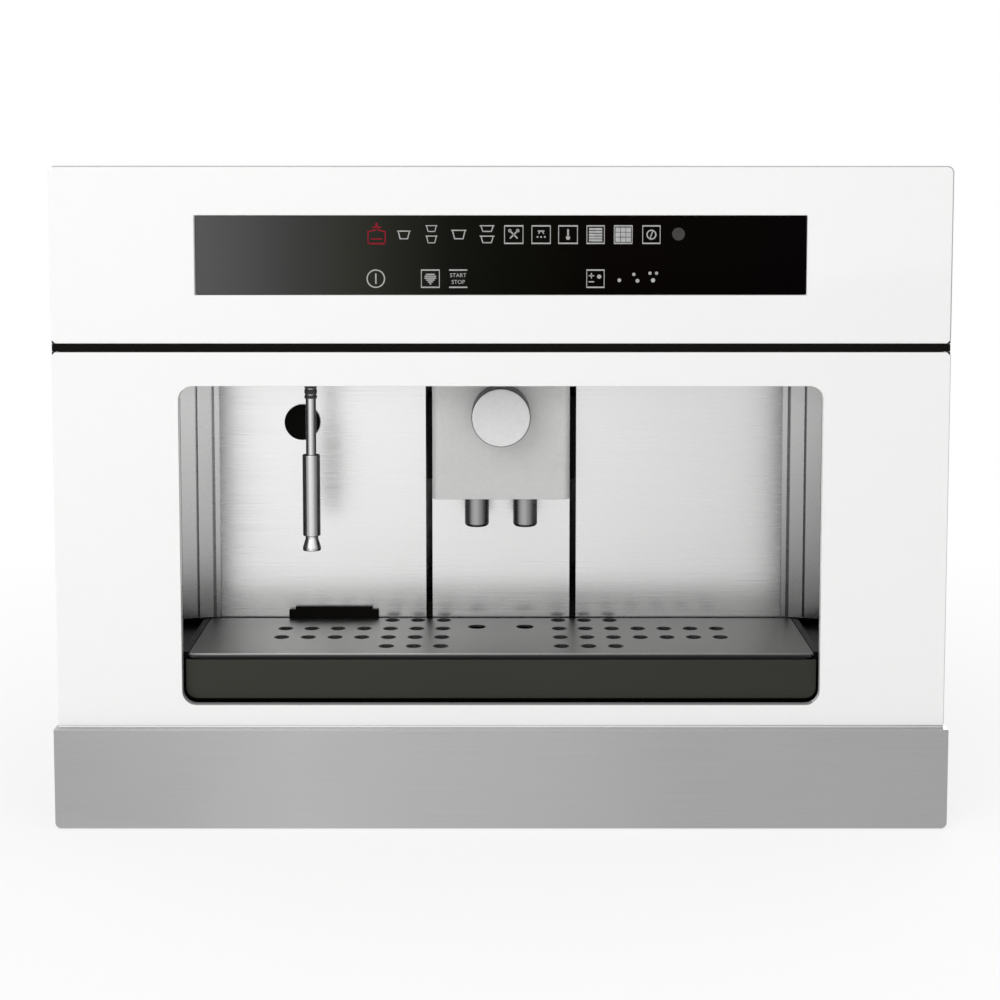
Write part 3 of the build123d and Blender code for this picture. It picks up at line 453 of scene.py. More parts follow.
def boardMaterial():
    # green solder mask crossed by thin copper tracks
    values = {"noise": 30.0, "gloss": (0.3, 0.45),
              "tracks": {"Color1": (0.01, 0.09, 0.04, 1), "Color2": (0.015, 0.11, 0.05, 1),
                         "Mortar": (0.05, 0.2, 0.08, 1), "Mortar Size": 0.03, "Scale": 60.0}}
    material, tree, shader = startMaterial("boardGreen")
    place = addNode(tree, "ShaderNodeTexCoord")
    tracks = addNode(tree, "ShaderNodeTexBrick", **values["tracks"])
    tree.links.new(place.outputs["Object"], tracks.inputs["Vector"])
    setTone(tree, shader, tracks.outputs["Color"])
    tree.links.new(spread(tree, objectNoise(tree, values["noise"]), *values["gloss"]),
                   shader.inputs["Roughness"])
    return material


# slow changes of tone: along an axis in metres, by the way a face turns, or towards an outline; most
# are painted light, shade and reflection
# painted highlight on the steel strip: lighter a little left of the middle, darker towards both ends
stripHighlight = ("X", ((-0.3, 0.8), (-0.23, 0.88), (-0.135, 1.0), (0.0, 0.97), (0.13, 0.9), (0.3, 0.93)))
# painted shade on the back wall: a little darker towards the right, and darker in a band over its
# lower half
wallShade = ("X", ((-0.24, 1.0), (0.06, 1.0), (0.146, 0.97), (0.24, 0.97)))
wallShadeByHeight = ("Z", ((0.116, 1.0), (0.15, 0.96), (0.165, 0.94), (0.2, 0.97), (0.275, 1.0)))
gridTone = ("X", ((-0.21, 0.7), (-0.17, 0.6), (-0.1, 0.8), (0.0, 0.62), (0.1, 0.74), (0.19, 0.82)))
# painted shade on the deck: darker towards the back wall, deep in the cavity
gridShadeToBack = ("Y", ((-0.19, 1.0), (-0.13, 0.95), (-0.08, 0.72)))
# painted shade on the side folds: darker on the right-hand folds and much darker towards the bottom
foldShade = ("X", ((-0.236, 1.0), (-0.2, 1.0), (0.2, 0.62), (0.236, 0.5)))
foldShadeByHeight = ("Z", ((0.116, 0.34), (0.128, 0.46), (0.165, 0.62), (0.202, 0.76), (0.275, 1.0)))
# painted shade on the deck's front lip: darker towards the right, and its front and lower faces
# darker than its top
lipShade = ("X", ((-0.21, 0.9), (-0.05, 0.78), (0.08, 0.5), (0.21, 0.4)))
lipShadeByFacing = ((0, 0, 1), ((0.0, 0.1), (0.4, 0.2), (0.75, 1.0), (1.0, 1.0)))
# painted shade on the knob: every face but its front is almost black
knobSideShade = ((0, -1, 0), ((0.0, 0.012), (0.7, 0.02), (0.93, 1.0), (1.0, 1.0)))
# painted light on the brew head: lighter towards the top, making up for the shadow that falls there
headLightByHeight = ("Z", ((0.21, 0.72), (0.235, 0.77), (0.255, 0.88), (0.272, 1.0)))
# painted reflection: the steam pipe and the spouts darken towards their outlines
tubeEdgeReflection = ((0.0, 0.9), (0.03, 0.82), (0.08, 0.45), (0.2, 0.24), (0.4, 0.11), (0.6, 0.03))
spoutEdgeReflection = ((0.0, 0.5), (0.03, 0.38), (0.15, 0.2), (0.35, 0.12), (0.6, 0.03))
finishes = {
    "white_glass": whiteGlassMaterial(),
    "display_glass": displayGlassMaterial(),
    "strip_steel": brushedMaterial("stripSteel", (0.55, 0.55, 0.55), 0.3, streak=0.02,
                                   blotch=0.02, broad=(stripHighlight,)),
    "wall_steel": brushedMaterial("wallSteel", (0.985, 0.985, 0.98), 0.25, streak=0.006,
                                  blotch=0.02, relief=0.001, broad=(wallShade, wallShadeByHeight)),
    "fold_steel": brushedMaterial("foldSteel", (0.86, 0.86, 0.855), 0.3, streak=0.008,
                                  blotch=0.02, relief=0.0025, broad=(foldShade, foldShadeByHeight)),
    "grid_steel": brushedMaterial("gridSteel", (0.21, 0.21, 0.205), 0.42, streak=0.03,
                                  broad=(gridTone, gridShadeToBack)),
    "lip_steel": mottledMaterial("lipSteel", (0.7, 0.7, 0.69), 0.03, 400, 0.35, metallic=0.4,
                                 grain=0.03, broad=(lipShade,), turned=(lipShadeByFacing,)),
    "tray_steel": brushedMaterial("traySteel", (0.05, 0.05, 0.043), 0.4),
    "head_enamel": mottledMaterial("headEnamel", (0.94, 0.94, 0.935), 0.03, 420, 0.4, metallic=0.1,
                                   grain=0.05, roughChange=0.05, broad=(headLightByHeight,)),
    "knob_silver": mottledMaterial("knobSilver", (0.84, 0.84, 0.84), 0.03, 300, 0.34, metallic=0.3,
                                   grain=0.03, roughChange=0.04, turned=(knobSideShade,)),
    "polished_steel": edgedSteelMaterial("polishedSteel", tubeEdgeReflection, 0.16),
    "spout_steel": edgedSteelMaterial("spoutSteel", spoutEdgeReflection, 0.28),
    "frame_black": mottledMaterial("frameBlack", (0.004, 0.004, 0.004), 0.2, 700, 0.5, grain=0.15,
                                   specular=0.1),
    "carrier_black": mottledMaterial("carrierBlack", (0.006, 0.006, 0.006), 0.2, 700, 0.45,
                                     grain=0.15, specular=0.15),
    "part_black": mottledMaterial("partBlack", (0.004, 0.0035, 0.003), 0.2, 600, 0.6, grain=0.1,
                                  specular=0.06),
    "tray_black": mottledMaterial("trayBlack", (0.008, 0.008, 0.008), 0.2, 600, 0.42, grain=0.1,
                                  specular=0.2),
    "shell_zinc": zincMaterial("shellZinc", (0.62, 0.63, 0.65), 0.4),
    "rail_zinc": zincMaterial("railZinc", (0.7, 0.71, 0.73), 0.28),
    "tank_clear": clearMaterial("tankClear", (0.93, 0.96, 0.97), 0.06, 1.49),
    "hopper_smoke": clearMaterial("hopperSmoke", (0.35, 0.33, 0.31), 0.08, 1.49),
    "works_grey": mottledMaterial("worksGrey", (0.16, 0.165, 0.17), 0.12, 500, 0.45, grain=0.15),
    "works_metal": mottledMaterial("worksMetal", (0.55, 0.54, 0.52), 0.1, 60, 0.33, metallic=1.0,
                                   grain=0.1),
    "burr_ceramic": mottledMaterial("burrCeramic", (0.82, 0.8, 0.75), 0.05, 300, 0.3, grain=0.1),
    "board_green": boardMaterial(),
    "pipe_teflon": mottledMaterial("pipeTeflon", (0.82, 0.82, 0.8), 0.04, 120, 0.28),
    "screw_steel": mottledMaterial("screwSteel", (0.6, 0.6, 0.6), 0.08, 500, 0.26, metallic=1.0),
    "bush_grey": mottledMaterial("bushGrey", (0.05, 0.05, 0.05), 0.15, 500, 0.35, specular=0.4),
    "mark_white": mottledMaterial("markWhite", (0.8, 0.8, 0.79), 0.04, 300, 0.45),
    "mark_grey": mottledMaterial("markGrey", (0.4, 0.4, 0.4), 0.15, 300, 0.5, roughChange=0.05),
    "mark_dim": mottledMaterial("markDim", (0.055, 0.053, 0.05), 0.1, 300, 0.4, specular=0.1),
    "mark_red": mottledMaterial("markRed", (0.24, 0.008, 0.02), 0.2, 500, 0.5, specular=0.1),
}
slotOf = {row["node"]: row["material_slot"] for row in frame["record"]["subparts"]}
bodyOf = {name: body for body, names in frame["record"]["behaviour"]["bodies"].items()
          for name in names}
for name, node in nodes.items():
    node.data.materials.clear()
    node.data.materials.append(finishes[slotOf[name]])
print("materials ready:", len(finishes))


def mirrorRays(tree):
    # the light path node, and a value that is 1 for rays that were mirrored or passed through
    rays = addNode(tree, "ShaderNodeLightPath")
    mirror = addNode(tree, "ShaderNodeMath", operation="MAXIMUM")
    tree.links.new(rays.outputs["Is Glossy Ray"], mirror.inputs[0])
    tree.links.new(rays.outputs["Is Transmission Ray"], mirror.inputs[1])
    return rays, mirror.outputs["Value"]


def mixedShader(tree, share, first, second):
    # the first shader where the share is 0, the second where it is 1
    mix = addNode(tree, "ShaderNodeMixShader")
    tree.links.new(share, mix.inputs["Fac"])
    tree.links.new(first, mix.inputs[1])
    tree.links.new(second, mix.inputs[2])
    return mix.outputs["Shader"]


def buildStudio():
    # pale floor, white surround, and broad soft lights from the front left, above and behind
    values = {"floorSize": 14, "floor": (0.9, 0.9, 0.89), "nearGlow": 0.75, "nearReach": 0.35,
              "farReach": 0.9, "ambient": 0.62, "mirrorHalf": 0.6, "mirrorLeft": 1.0,
              "mirrorRight": 0.6, "clouds": 1.5, "dark": 0.99, "floorRough": 0.9,
              "aim": (0, 0, 0.2),
              "lamps": {"keyLamp": ((-0.9, -1.9, 1.3), 1.5, 14),  # place, size, power
                        "topLamp": ((0.0, -0.5, 1.7), 1.6, 6),
                        "backLamp": ((0.8, 1.8, 1.2), 1.4, 9)}}
    bpy.ops.mesh.primitive_plane_add(size=values["floorSize"], location=(0, 0, 0))
    floor = bpy.context.object
    floor.name = "paleFloor"
    material, tree, shader = startMaterial("paleFloor")
    noise = objectNoise(tree, values["clouds"])
    dark = tuple(part * values["dark"] for part in values["floor"])
    setTone(tree, shader, ramp(tree, noise, [(noiseLow, dark), (noiseHigh, values["floor"])]))
    shader.inputs["Roughness"].default_value = values["floorRough"]
    shader.inputs["Specular IOR Level"].default_value = 0.0
    rays, mirror = mirrorRays(tree)
    # painted light: in metal and glass the floor glows brighter at the left than at the right
    reach = mapped(tree, objectAxis(tree, "X"), (-values["mirrorHalf"], values["mirrorHalf"]),
                   (values["mirrorLeft"], values["mirrorRight"]))
    white = addNode(tree, "ShaderNodeEmission", Strength=1.0)
    pale = addNode(tree, "ShaderNodeEmission")
    tree.links.new(reach, pale.inputs["Strength"])
    # the camera sees the floor glow, less near the machine, so that a soft shadow stays there
    place = addNode(tree, "ShaderNodeTexCoord")
    away = addNode(tree, "ShaderNodeVectorMath", operation="LENGTH")
    tree.links.new(place.outputs["Object"], away.inputs[0])
    fade = mapped(tree, away.outputs["Value"], (values["nearReach"], values["farReach"]),
                  (values["nearGlow"], 1.0))
    share = addNode(tree, "ShaderNodeMath", operation="MULTIPLY")
    tree.links.new(rays.outputs["Is Camera Ray"], share.inputs[0])
    tree.links.new(fade, share.inputs[1])
    toCamera = mixedShader(tree, share.outputs["Value"], shader.outputs["BSDF"],
                           white.outputs["Emission"])
    toMirror = mixedShader(tree, mirror, toCamera, pale.outputs["Emission"])
    tree.links.new(toMirror, tree.nodes["Material Output"].inputs["Surface"])
    floor.data.materials.append(material)

    world = bpy.data.worlds.new("whiteRoom")
    bpy.context.scene.world = world
    world.use_nodes = True
    tree = world.node_tree
    tree.nodes.clear()
    rays, mirror = mirrorRays(tree)
    seen = addNode(tree, "ShaderNodeMath", operation="MAXIMUM")
    tree.links.new(rays.outputs["Is Camera Ray"], seen.inputs[0])
    tree.links.new(mirror, seen.inputs[1])
    white = (1, 1, 1, 1)
    dim = addNode(tree, "ShaderNodeBackground", Color=white, Strength=values["ambient"])
    bright = addNode(tree, "ShaderNodeBackground", Color=white, Strength=1.0)
    surround = mixedShader(tree, seen.outputs["Value"], dim.outputs["Background"],
                           bright.outputs["Background"])
    output = addNode(tree, "ShaderNodeOutputWorld")
    tree.links.new(surround, output.inputs["Surface"])

    for name, (place, size, power) in values["lamps"].items():
        bpy.ops.object.light_add(type="AREA", location=place)
        lamp = bpy.context.object
        lamp.name = name
        lamp.data.shape = "SQUARE"
        lamp.data.size = size
        lamp.data.energy = power
        toward = Vector(values["aim"]) - lamp.location
        lamp.rotation_euler = toward.to_track_quat("-Z", "Y").to_euler()
        lamp.visible_camera = False


def buildCamera():
    # a long lens level with the top of the machine, pitched down and shifted to the photo's frame
    values = {"place": (-0.0007, -1.4751, 0.4415), "pitch": 85, "sensor": 36, "lens": 70.387,
              "shift": -0.1613, "near": 0.01}
    bpy.ops.object.camera_add(location=values["place"],
                              rotation=(math.radians(values["pitch"]), 0, 0))
    camera = bpy.context.object
    camera.name = "photoCamera"
    camera.data.sensor_width = values["sensor"]
    camera.data.lens = values["lens"]
    camera.data.shift_y = values["shift"]
    camera.data.clip_start = values["near"]
    camera.data.dof.use_dof = False
    bpy.context.scene.camera = camera


bpy.context.scene.view_settings.view_transform = "Standard"
buildCamera()
buildStudio()
print("camera and studio ready")


def softenNodes():
    # every CAD shape that can be seen gets merged faces and edges that catch the light
    # a few names have segments, a smooth angle or a finish of their own; the head tracks and tray
    # rails are made black as painted shade
    values = {
        "segments": 2, "smooth": 40,
        "segmentsOf": {"door_glass": 3, "fascia_glass": 3, "head_cover": 3, "frother_sleeve": 3,
                       "port_plug": 3, "boiler": 3, "control_board": 1, "power_board": 1},
        "smoothOf": {"back_panel_left": 6, "back_panel_right": 6},
        # painted shade: the head tracks seen through the back wall's slots, and the tray rails in
        # their grooves, are black
        "finishAndShadeOf": {"head_tracks": "part_black", "tray_rails": "carrier_black",
                     "spouts": "spout_steel"},
        "edges": {
            "door_glass": 1.1, "fascia_glass": 1.1, "display_panel": 0.15, "trim_strip": 0.4,
            "drip_grid": 0.18, "head_cover": 0.45, "flow_knob": 0.2, "spouts": 0.25,
            "wand_collar": 0.4, "steam_wand": 0.15, "frother_sleeve": 0.4, "port_plug": 0.5,
            "drain_outlet": 0.3, "wand_socket": 0.3, "back_panel_left": 0, "back_panel_center": 0.15,
            "back_panel_right": 0, "front_frame": 0.2, "door_carrier": 0.4, "fascia_carrier": 0.4,
            "head_carriage": 0.3, "head_tracks": 0.2, "drip_tray": 0.4, "grounds_bin": 0.4,
            "tray_rails": 0.3, "grind_dial": 0.5, "mains_inlet": 0.4, "power_switch": 0.4,
            "chassis_base": 0.25, "left_side_panel": 0.25, "right_side_panel": 0.25,
            "rear_cover": 0.25, "top_cover": 0.25, "service_door": 0.2, "guide_outer_left": 0.2,
            "guide_outer_right": 0.2, "guide_tie_bar": 0.3, "guide_middle_rails": 0.2,
            "guide_inner_rails": 0.2, "door_hinges": 0.3, "water_tank": 0.5, "tank_lid": 0.4,
            "bean_hopper": 0.4, "hopper_lid": 0.4, "tank_cradle": 0.3, "grinder_housing": 0.5,
            "brew_frame": 0.4, "brew_piston": 0.4, "brew_spindle": 0.3, "pump": 0.5,
            "brew_motor": 0.5, "boiler": 1.5, "lower_burr": 0.3, "control_board": 0.15,
            "power_board": 0.15, "cavity_liner": 0.3}}
    for name, width in values["edges"].items():
        piece = softenedCopy(name, width, values["segmentsOf"].get(name, values["segments"]),
                             values["smoothOf"].get(name, values["smooth"]))
        finish = values["finishAndShadeOf"].get(name, slotOf[name])
        finishPiece(piece, bodyOf[name], finish, slotOf[name], (name,))
    print("softened pieces:", len(values["edges"]))


softenNodes()


def thicken(piece, sheet):
    # gives a surface the thickness of its sheet, on the side away from its normals
    wall = piece.modifiers.new("sheet", "SOLIDIFY")
    wall.thickness = sheet * mm
    wall.offset = -1
    applyModifiers(piece)


def buildCavityLining():
    # thin steel sheet folded over the cavity's sides and ceiling, in front of the back wall
    values = {"low": (-235.6, -176.0, 116.2), "high": (235.6, -85.2, 315.6), "sheet": 0.4, "cuts": 3}
    piece = sheetBox("cavityLining", values["low"], values["high"])
    selectFaces(piece, lambda centre, normal: abs(normal.y) > facing or normal.z < -facing)
    bpy.ops.mesh.delete(type="FACE")
    selectAll()
    bpy.ops.mesh.subdivide(number_cuts=values["cuts"])
    objectMode()
    thicken(piece, values["sheet"])
    smooth(piece)
    finishPiece(piece, "machine", "wall_steel")


def buildSideFolds():
    # the back wall's outer folds: two flats between dark seams, with a bead beside the outer seam
    # a strip one millimetre wide loses its far edge, and the edge that stays is drawn along the plan
    values = {"low": 116.2, "high": 315.2, "sheet": 0.35, "strip": 1.0, "smooth": 10,
              "plan": ((235.3, -84.8), (220.0, -79.4), (219.8, -77.4), (218.3, -77.4), (218.1, -80.2),
                       (217.1, -79.8), (208.9, -76.6), (208.7, -75.1), (206.8, -75.1),
                       (206.6, -75.9), (203.4, -74.9), (203.0, -74.2))}
    height = values["high"] - values["low"]
    for side, word in ((-1, "Left"), (1, "Right")):
        plan = [(side * x, y) for x, y in values["plan"]]
        middle = plan[0][0] + values["strip"] / 2
        bpy.ops.mesh.primitive_plane_add(
            size=1, rotation=(math.radians(90), 0, 0),
            location=(middle * mm, plan[0][1] * mm, (values["low"] + height / 2) * mm))
        piece = bpy.context.object
        piece.name = "sideFolds" + word
        piece.scale = (values["strip"] * mm, height * mm, 1)
        applyPlace(piece)
        clearPicks(piece, "VERT")
        for point in piece.data.vertices:
            point.select = point.co.x > middle * mm
        editMode()
        bpy.ops.mesh.delete(type="VERT")
        selectAll()
        for first, second in zip(plan, plan[1:]):
            step = ((second[0] - first[0]) * mm, (second[1] - first[1]) * mm, 0)
            bpy.ops.mesh.extrude_region_move(TRANSFORM_OT_translate={"value": step})
        selectAll()
        bpy.ops.mesh.normals_make_consistent(inside=False)
        objectMode()
        thicken(piece, values["sheet"])
        smooth(piece, values["smooth"])
        finishPiece(piece, "machine", "fold_steel", "wall_steel")


buildCavityLining()
buildSideFolds()
print("cavity lining ready")


def buildTrayFront():
    # the drip tray's front plate: square above, rounded below to follow the window
    values = {"half": 211.7, "below": 7.4, "belowSegments": 8, "above": 0.8, "aboveSegments": 3,
              "edge": 0.35, "corner": 200, "deep": 0.5, "near": 0.01}
    low, high = [[part / mm for part in corner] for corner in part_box("tray_front")]
    low[0], high[0] = -values["half"], values["half"]
    middle = (low[2] + high[2]) / 2

    def across(a, b):
        # true for the four short edges at the plate's corners
        return abs(a.y - b.y) > values["deep"] * mm and abs(a.x) > values["corner"] * mm

    piece = sheetBox("trayFront", low, high)
    bevelCorners(piece, values["below"], values["belowSegments"],
                 lambda a, b: across(a, b) and a.z < middle * mm)
    bevelCorners(piece, values["above"], values["aboveSegments"],
                 lambda a, b: across(a, b) and a.z > (high[2] - values["near"]) * mm)
    bevelEdges(piece, values["edge"], segments=2)
    smooth(piece)
    flattenShading(piece)
    finishPiece(piece, "tray", "tray_steel", standsFor=("tray_front",))


def buildGapFrameAndShade():
    # black block in the gap between the two glasses, with wedges of it in their clipped corners: the
    # black frame seen there, and painted shade deep in the gap
    values = {"half": 295.6, "front": -194.3, "back": -188.3, "low": 321.0, "high": 325.8,
              "doorTop": 320.6, "fasciaFoot": 326.2, "clip": 2.4, "air": 0.1, "edge": 0.1}
    piece = sheetBox("gapFrameAndShade", (-values["half"], values["front"], values["low"]),
                     (values["half"], values["back"], values["high"]))
    bevelEdges(piece, values["edge"], segments=1)
    finishPiece(piece, "machine", "part_black")
    for side, word in ((-1, "Left"), (1, "Right")):
        for name, body, z, way in (("doorWedge", "front_door", values["doorTop"], 1),
                                   ("fasciaWedge", "machine", values["fasciaFoot"], -1)):
            ends = sorted((side * (values["half"] - values["clip"]), side * values["half"]))
            rise = sorted((z - way * values["clip"], z))
            wedge = sheetBox(name + word, (ends[0], values["front"], rise[0]),
                             (ends[1], values["back"], rise[1]))
            activate(wedge)
            editMode()
            selectAll()
            corner = side * (values["half"] - values["clip"] + 2 * values["air"])
            bpy.ops.mesh.bisect(plane_co=(corner * mm, 0, z * mm), plane_no=(side, 0, way),
                                use_fill=True, clear_inner=True)
            objectMode()
            finishPiece(wedge, body, "part_black")


buildTrayFront()
buildGapFrameAndShade()
print("tray front and seal ready")


def pressedRim(values):
    # flat round plate with its middle taken out, its outer edge eased
    height = values["top"] - values["foot"]
    bpy.ops.mesh.primitive_cylinder_add(vertices=values["corners"], radius=values["outer"] * mm,
                                        depth=height * mm,
                                        location=(0, 0, (values["foot"] + height / 2) * mm))
    rim = bpy.context.object
    applyPlace(rim)
    selectFaces(rim, lambda centre, normal: abs(normal.z) > facing)
    bpy.ops.mesh.inset(thickness=(values["outer"] - values["inner"]) * mm, depth=0)
    bpy.ops.mesh.bridge_edge_loops()
    objectMode()
    bevelEdges(rim, values["edge"], segments=1)
    smooth(rim)
    return rim


def buildGridHoleShade():
    # black rings around the deck's drain holes, all in one piece: painted dark reflection at their
    # pressed edges
    values = {"top": 115.5, "foot": 115.3, "inner": 3.95, "outer": 5.3, "corners": 28, "edge": 0.05,
              "first": 41.3, "pitch": 18.6, "front": -160.6, "row": 25.6, "counts": (3, 7, 7, 3)}
    holes = [(side * (values["first"] + column * values["pitch"]),
              values["front"] + row * values["row"], 0)
             for row, count in enumerate(values["counts"])
             for column in range(count) for side in (-1, 1)]
    rim = pressedRim(values)
    rims = copiesAt(rim, holes)
    bpy.data.objects.remove(rim)
    piece = joinPieces(rims, "gridHoleShade")
    finishPiece(piece, "grid", "part_black")


def buildGridLip():
    # bright rolled edge along the deck's front
    values = {"low": (-209.6, -182.7, 112.2), "high": (209.6, -180.5, 115.6),
              "edge": 0.9, "segments": 4}
    easedBlock("gridLip", "grid", values, "lip_steel", "grid_steel")


buildGridHoleShade()
buildGridLip()
print("deck details ready")


def pressedPanel(name, body, low, high, outward):
    # shallow bead pressed into a sheet: a low plate whose middle is inset and pushed back
    values = {"edge": 0.3, "border": 9.0, "slope": 1.2, "depth": 0.5, "round": 0.15, "angle": 20}
    piece = sheetBox(name, low, high)
    selectFaces(piece, lambda centre, normal: normal.dot(Vector(outward)) > facing)
    bpy.ops.mesh.bevel(offset=values["edge"] * mm, segments=2)
    objectMode()
    selectFaces(piece, lambda centre, normal: normal.dot(Vector(outward)) > square)
    bpy.ops.mesh.inset(thickness=values["border"] * mm, depth=0)
    bpy.ops.mesh.inset(thickness=values["slope"] * mm, depth=-values["depth"] * mm)
    objectMode()
    bevelEdges(piece, values["round"], segments=2, angle=values["angle"])
    smooth(piece)
    flattenShading(piece)
    finishPiece(piece, body, "shell_zinc")


def panHead(place, outward):
    # small round screw head with a recess, its foot on the sheet at this place
    values = {"radius": 2.7, "height": 1.1, "corners": 24, "edge": 0.35, "rim": 0.9, "wall": 0.1,
              "recess": 0.7, "angle": 30}
    turn = Vector(outward).to_track_quat("Z", "Y").to_euler()
    middle = [(at + way * values["height"] / 2) * mm for at, way in zip(place, outward)]
    bpy.ops.mesh.primitive_cylinder_add(vertices=values["corners"], radius=values["radius"] * mm,
                                        depth=values["height"] * mm, location=middle,
                                        rotation=turn)
    head = bpy.context.object
    applyPlace(head)
    bevelEdges(head, values["edge"], segments=3)
    selectFaces(head, lambda centre, normal: normal.dot(Vector(outward)) > square)
    bpy.ops.mesh.inset(thickness=values["rim"] * mm, depth=0)
    bpy.ops.mesh.inset(thickness=values["wall"] * mm, depth=-values["recess"] * mm)
    objectMode()
    smooth(head, values["angle"])
    return head


def buildShellDetails():
    # pressed beads that stiffen the outer sheets, and the screws that hold them
    # each bead: its body, the axis it faces along, which way, the sheet's face, and two corners
    values = {"stand": 0.8, "sunk": 0.1, "side": 266.3, "cover": 439.2, "rear": 193.2}
    values["beads"] = {
        "leftBead": ("machine", 0, -1, values["side"], (-118, 78), (158, 402)),
        "rightBead": ("machine", 0, 1, values["side"], (-118, 78), (-26, 402)),
        "doorBead": ("side_door", 0, 1, values["side"], (8, 136), (118, 334)),
        "topBead": ("machine", 2, 1, values["cover"], (-236, -150), (236, -16)),
        "rearBead": ("machine", 1, 1, values["rear"], (-64, 120), (64, 408))}
    values["coverScrews"] = {"first": (-258, -150),
                             "steps": ((516, 0, 0), (0, 336, 0), (516, 336, 0))}
    values["sideScrews"] = {"first": (-140, 92), "deep": (0, 322), "high": (0, 158, 328)}
    for name, (body, axis, way, face, first, last) in values["beads"].items():
        low, high, outward = list(first), list(last), [0, 0, 0]
        ends = sorted((way * (face - values["sunk"]), way * (face + values["stand"])))
        low.insert(axis, ends[0])
        high.insert(axis, ends[1])
        outward[axis] = way
        pressedPanel(name, body, low, high, outward)
    screws = values["coverScrews"]
    heads = [panHead((*screws["first"], values["cover"]), (0, 0, 1))]
    heads += copiesAt(heads[0], screws["steps"])
    screws = values["sideScrews"]
    steps = [(0, y, z) for y in screws["deep"] for z in screws["high"] if y or z]
    for way in (-1, 1):
        heads.append(panHead((way * values["side"], *screws["first"]), (way, 0, 0)))
        heads += copiesAt(heads[-1], steps)
    piece = joinPieces(heads, "coverScrews")
    finishPiece(piece, "machine", "screw_steel")


def buildWandBush():
    # dark heat-proof bush with two grooves around the top of the steam pipe
    # cuts and grooves are shares of its height
    values = {"x": -129.5, "y": -153.0, "foot": 285.2, "top": 294.4, "radius": 4.3, "corners": 40,
              "edge": 0.2, "cuts": (0.22, 0.34, 0.66, 0.78), "grooves": (0.28, 0.72), "near": 0.3,
              "deep": 0.5}
    height = values["top"] - values["foot"]
    middle = (values["x"], values["y"], values["foot"] + height / 2)
    bpy.ops.mesh.primitive_cylinder_add(vertices=values["corners"], radius=values["radius"] * mm,
                                        depth=height * mm, location=[part * mm for part in middle])
    piece = bpy.context.object
    piece.name = "wandBush"
    applyPlace(piece)
    editMode()
    for share in values["cuts"]:
        selectAll()
        bpy.ops.mesh.bisect(plane_co=(0, 0, (values["foot"] + share * height) * mm),
                            plane_no=(0, 0, 1))
    objectMode()
    grooves = [values["foot"] + share * height for share in values["grooves"]]
    selectFaces(piece, lambda centre, normal: abs(normal.z) < 1 - facing and any(
        abs(centre.z / mm - groove) < values["near"] for groove in grooves))
    bpy.ops.mesh.extrude_region_shrink_fatten(
        TRANSFORM_OT_shrink_fatten={"value": -values["deep"] * mm})
    objectMode()
    bevelEdges(piece, values["edge"], segments=2)
    smooth(piece)
    finishPiece(piece, "wand", "bush_grey", "polished_steel")


def buildDialMark():
    # white pointer moulded into the grinding dial
    values = {"low": (154.3, 78.5, 441.9), "high": (155.7, 88.0, 442.5),
              "edge": 0.2, "segments": 2}
    easedBlock("dialMark", "grinder_dial", values, "mark_white", "part_black")


buildShellDetails()
buildWandBush()
buildDialMark()
print("shell details ready")


printPlane, printDepth = -195.01, 0.04  # the glass's face and the thickness of the print on it


def flatBar(x0, z0, x1, z1, turn=0.0):
    # one thin raised bar of print on the display, in millimetres
    middle = ((x0 + x1) / 2, printPlane - printDepth / 2, (z0 + z1) / 2)
    size = (abs(x1 - x0), printDepth, abs(z1 - z0))
    bpy.ops.mesh.primitive_cube_add(size=1, location=[part * mm for part in middle],
                                    rotation=(0, math.radians(turn), 0),
                                    scale=[part * mm for part in size])
    return bpy.context.object


def flatFrame(x0, z0, x1, z1, thick=0.9, thin=0.5):
    # square mark with heavy top and bottom bars and light sides
    return [flatBar(x0, z1 - thick, x1, z1), flatBar(x0, z0, x1, z0 + thick),
            flatBar(x0, z0 + thick, x0 + thin, z1 - thick),
            flatBar(x1 - thin, z0 + thick, x1, z1 - thick)]


def flatRing(x, z, radius, width, corners=36):
    # a ring cut from a disc by insetting it and dropping the middle; a full width leaves the disc
    bpy.ops.mesh.primitive_circle_add(vertices=corners, radius=radius * mm, fill_type="NGON",
                                      location=(x * mm, printPlane * mm, z * mm),
                                      rotation=(math.radians(90), 0, 0))
    ring = bpy.context.object
    editMode()
    selectAll()
    if width < radius:
        bpy.ops.mesh.inset(thickness=width * mm)
        bpy.ops.mesh.delete(type="FACE")
        selectAll()
    bpy.ops.mesh.extrude_region_move(TRANSFORM_OT_translate={"value": (0, -printDepth * mm, 0)})
    selectAll()
    bpy.ops.mesh.normals_make_consistent(inside=False)
    objectMode()
    return ring


def flatCup(x0, z0, x1, z1, line):
    # cup seen from the side: wide rim, sloping sides, narrow foot, set in by shares of the width
    values = {"side": 0.16, "foot": 0.26}
    side, foot = (x1 - x0) * values["side"], (x1 - x0) * values["foot"]
    slope = math.degrees(math.atan2(side, z1 - z0))
    return [flatBar(x0, z1 - line, x1, z1),
            flatBar(x0 + side - line / 2, z0, x0 + side + line / 2, z1 - line, -slope),
            flatBar(x1 - side - line / 2, z0, x1 - side + line / 2, z1 - line, slope),
            flatBar(x0 + foot, z0, x1 - foot, z0 + line)]


def flatDrop(x, z, size):
    # drop: a small disc whose top is pulled to a point
    values = {"corners": 16, "tip": 0.9, "pull": 1.1}
    drop = flatRing(x, z, size, size, values["corners"])
    for vertex in drop.data.vertices:
        vertex.select = vertex.co.y > size * values["tip"] * mm
    editMode()
    bpy.ops.transform.translate(value=(0, 0, size * values["pull"] * mm))
    objectMode()
    return drop


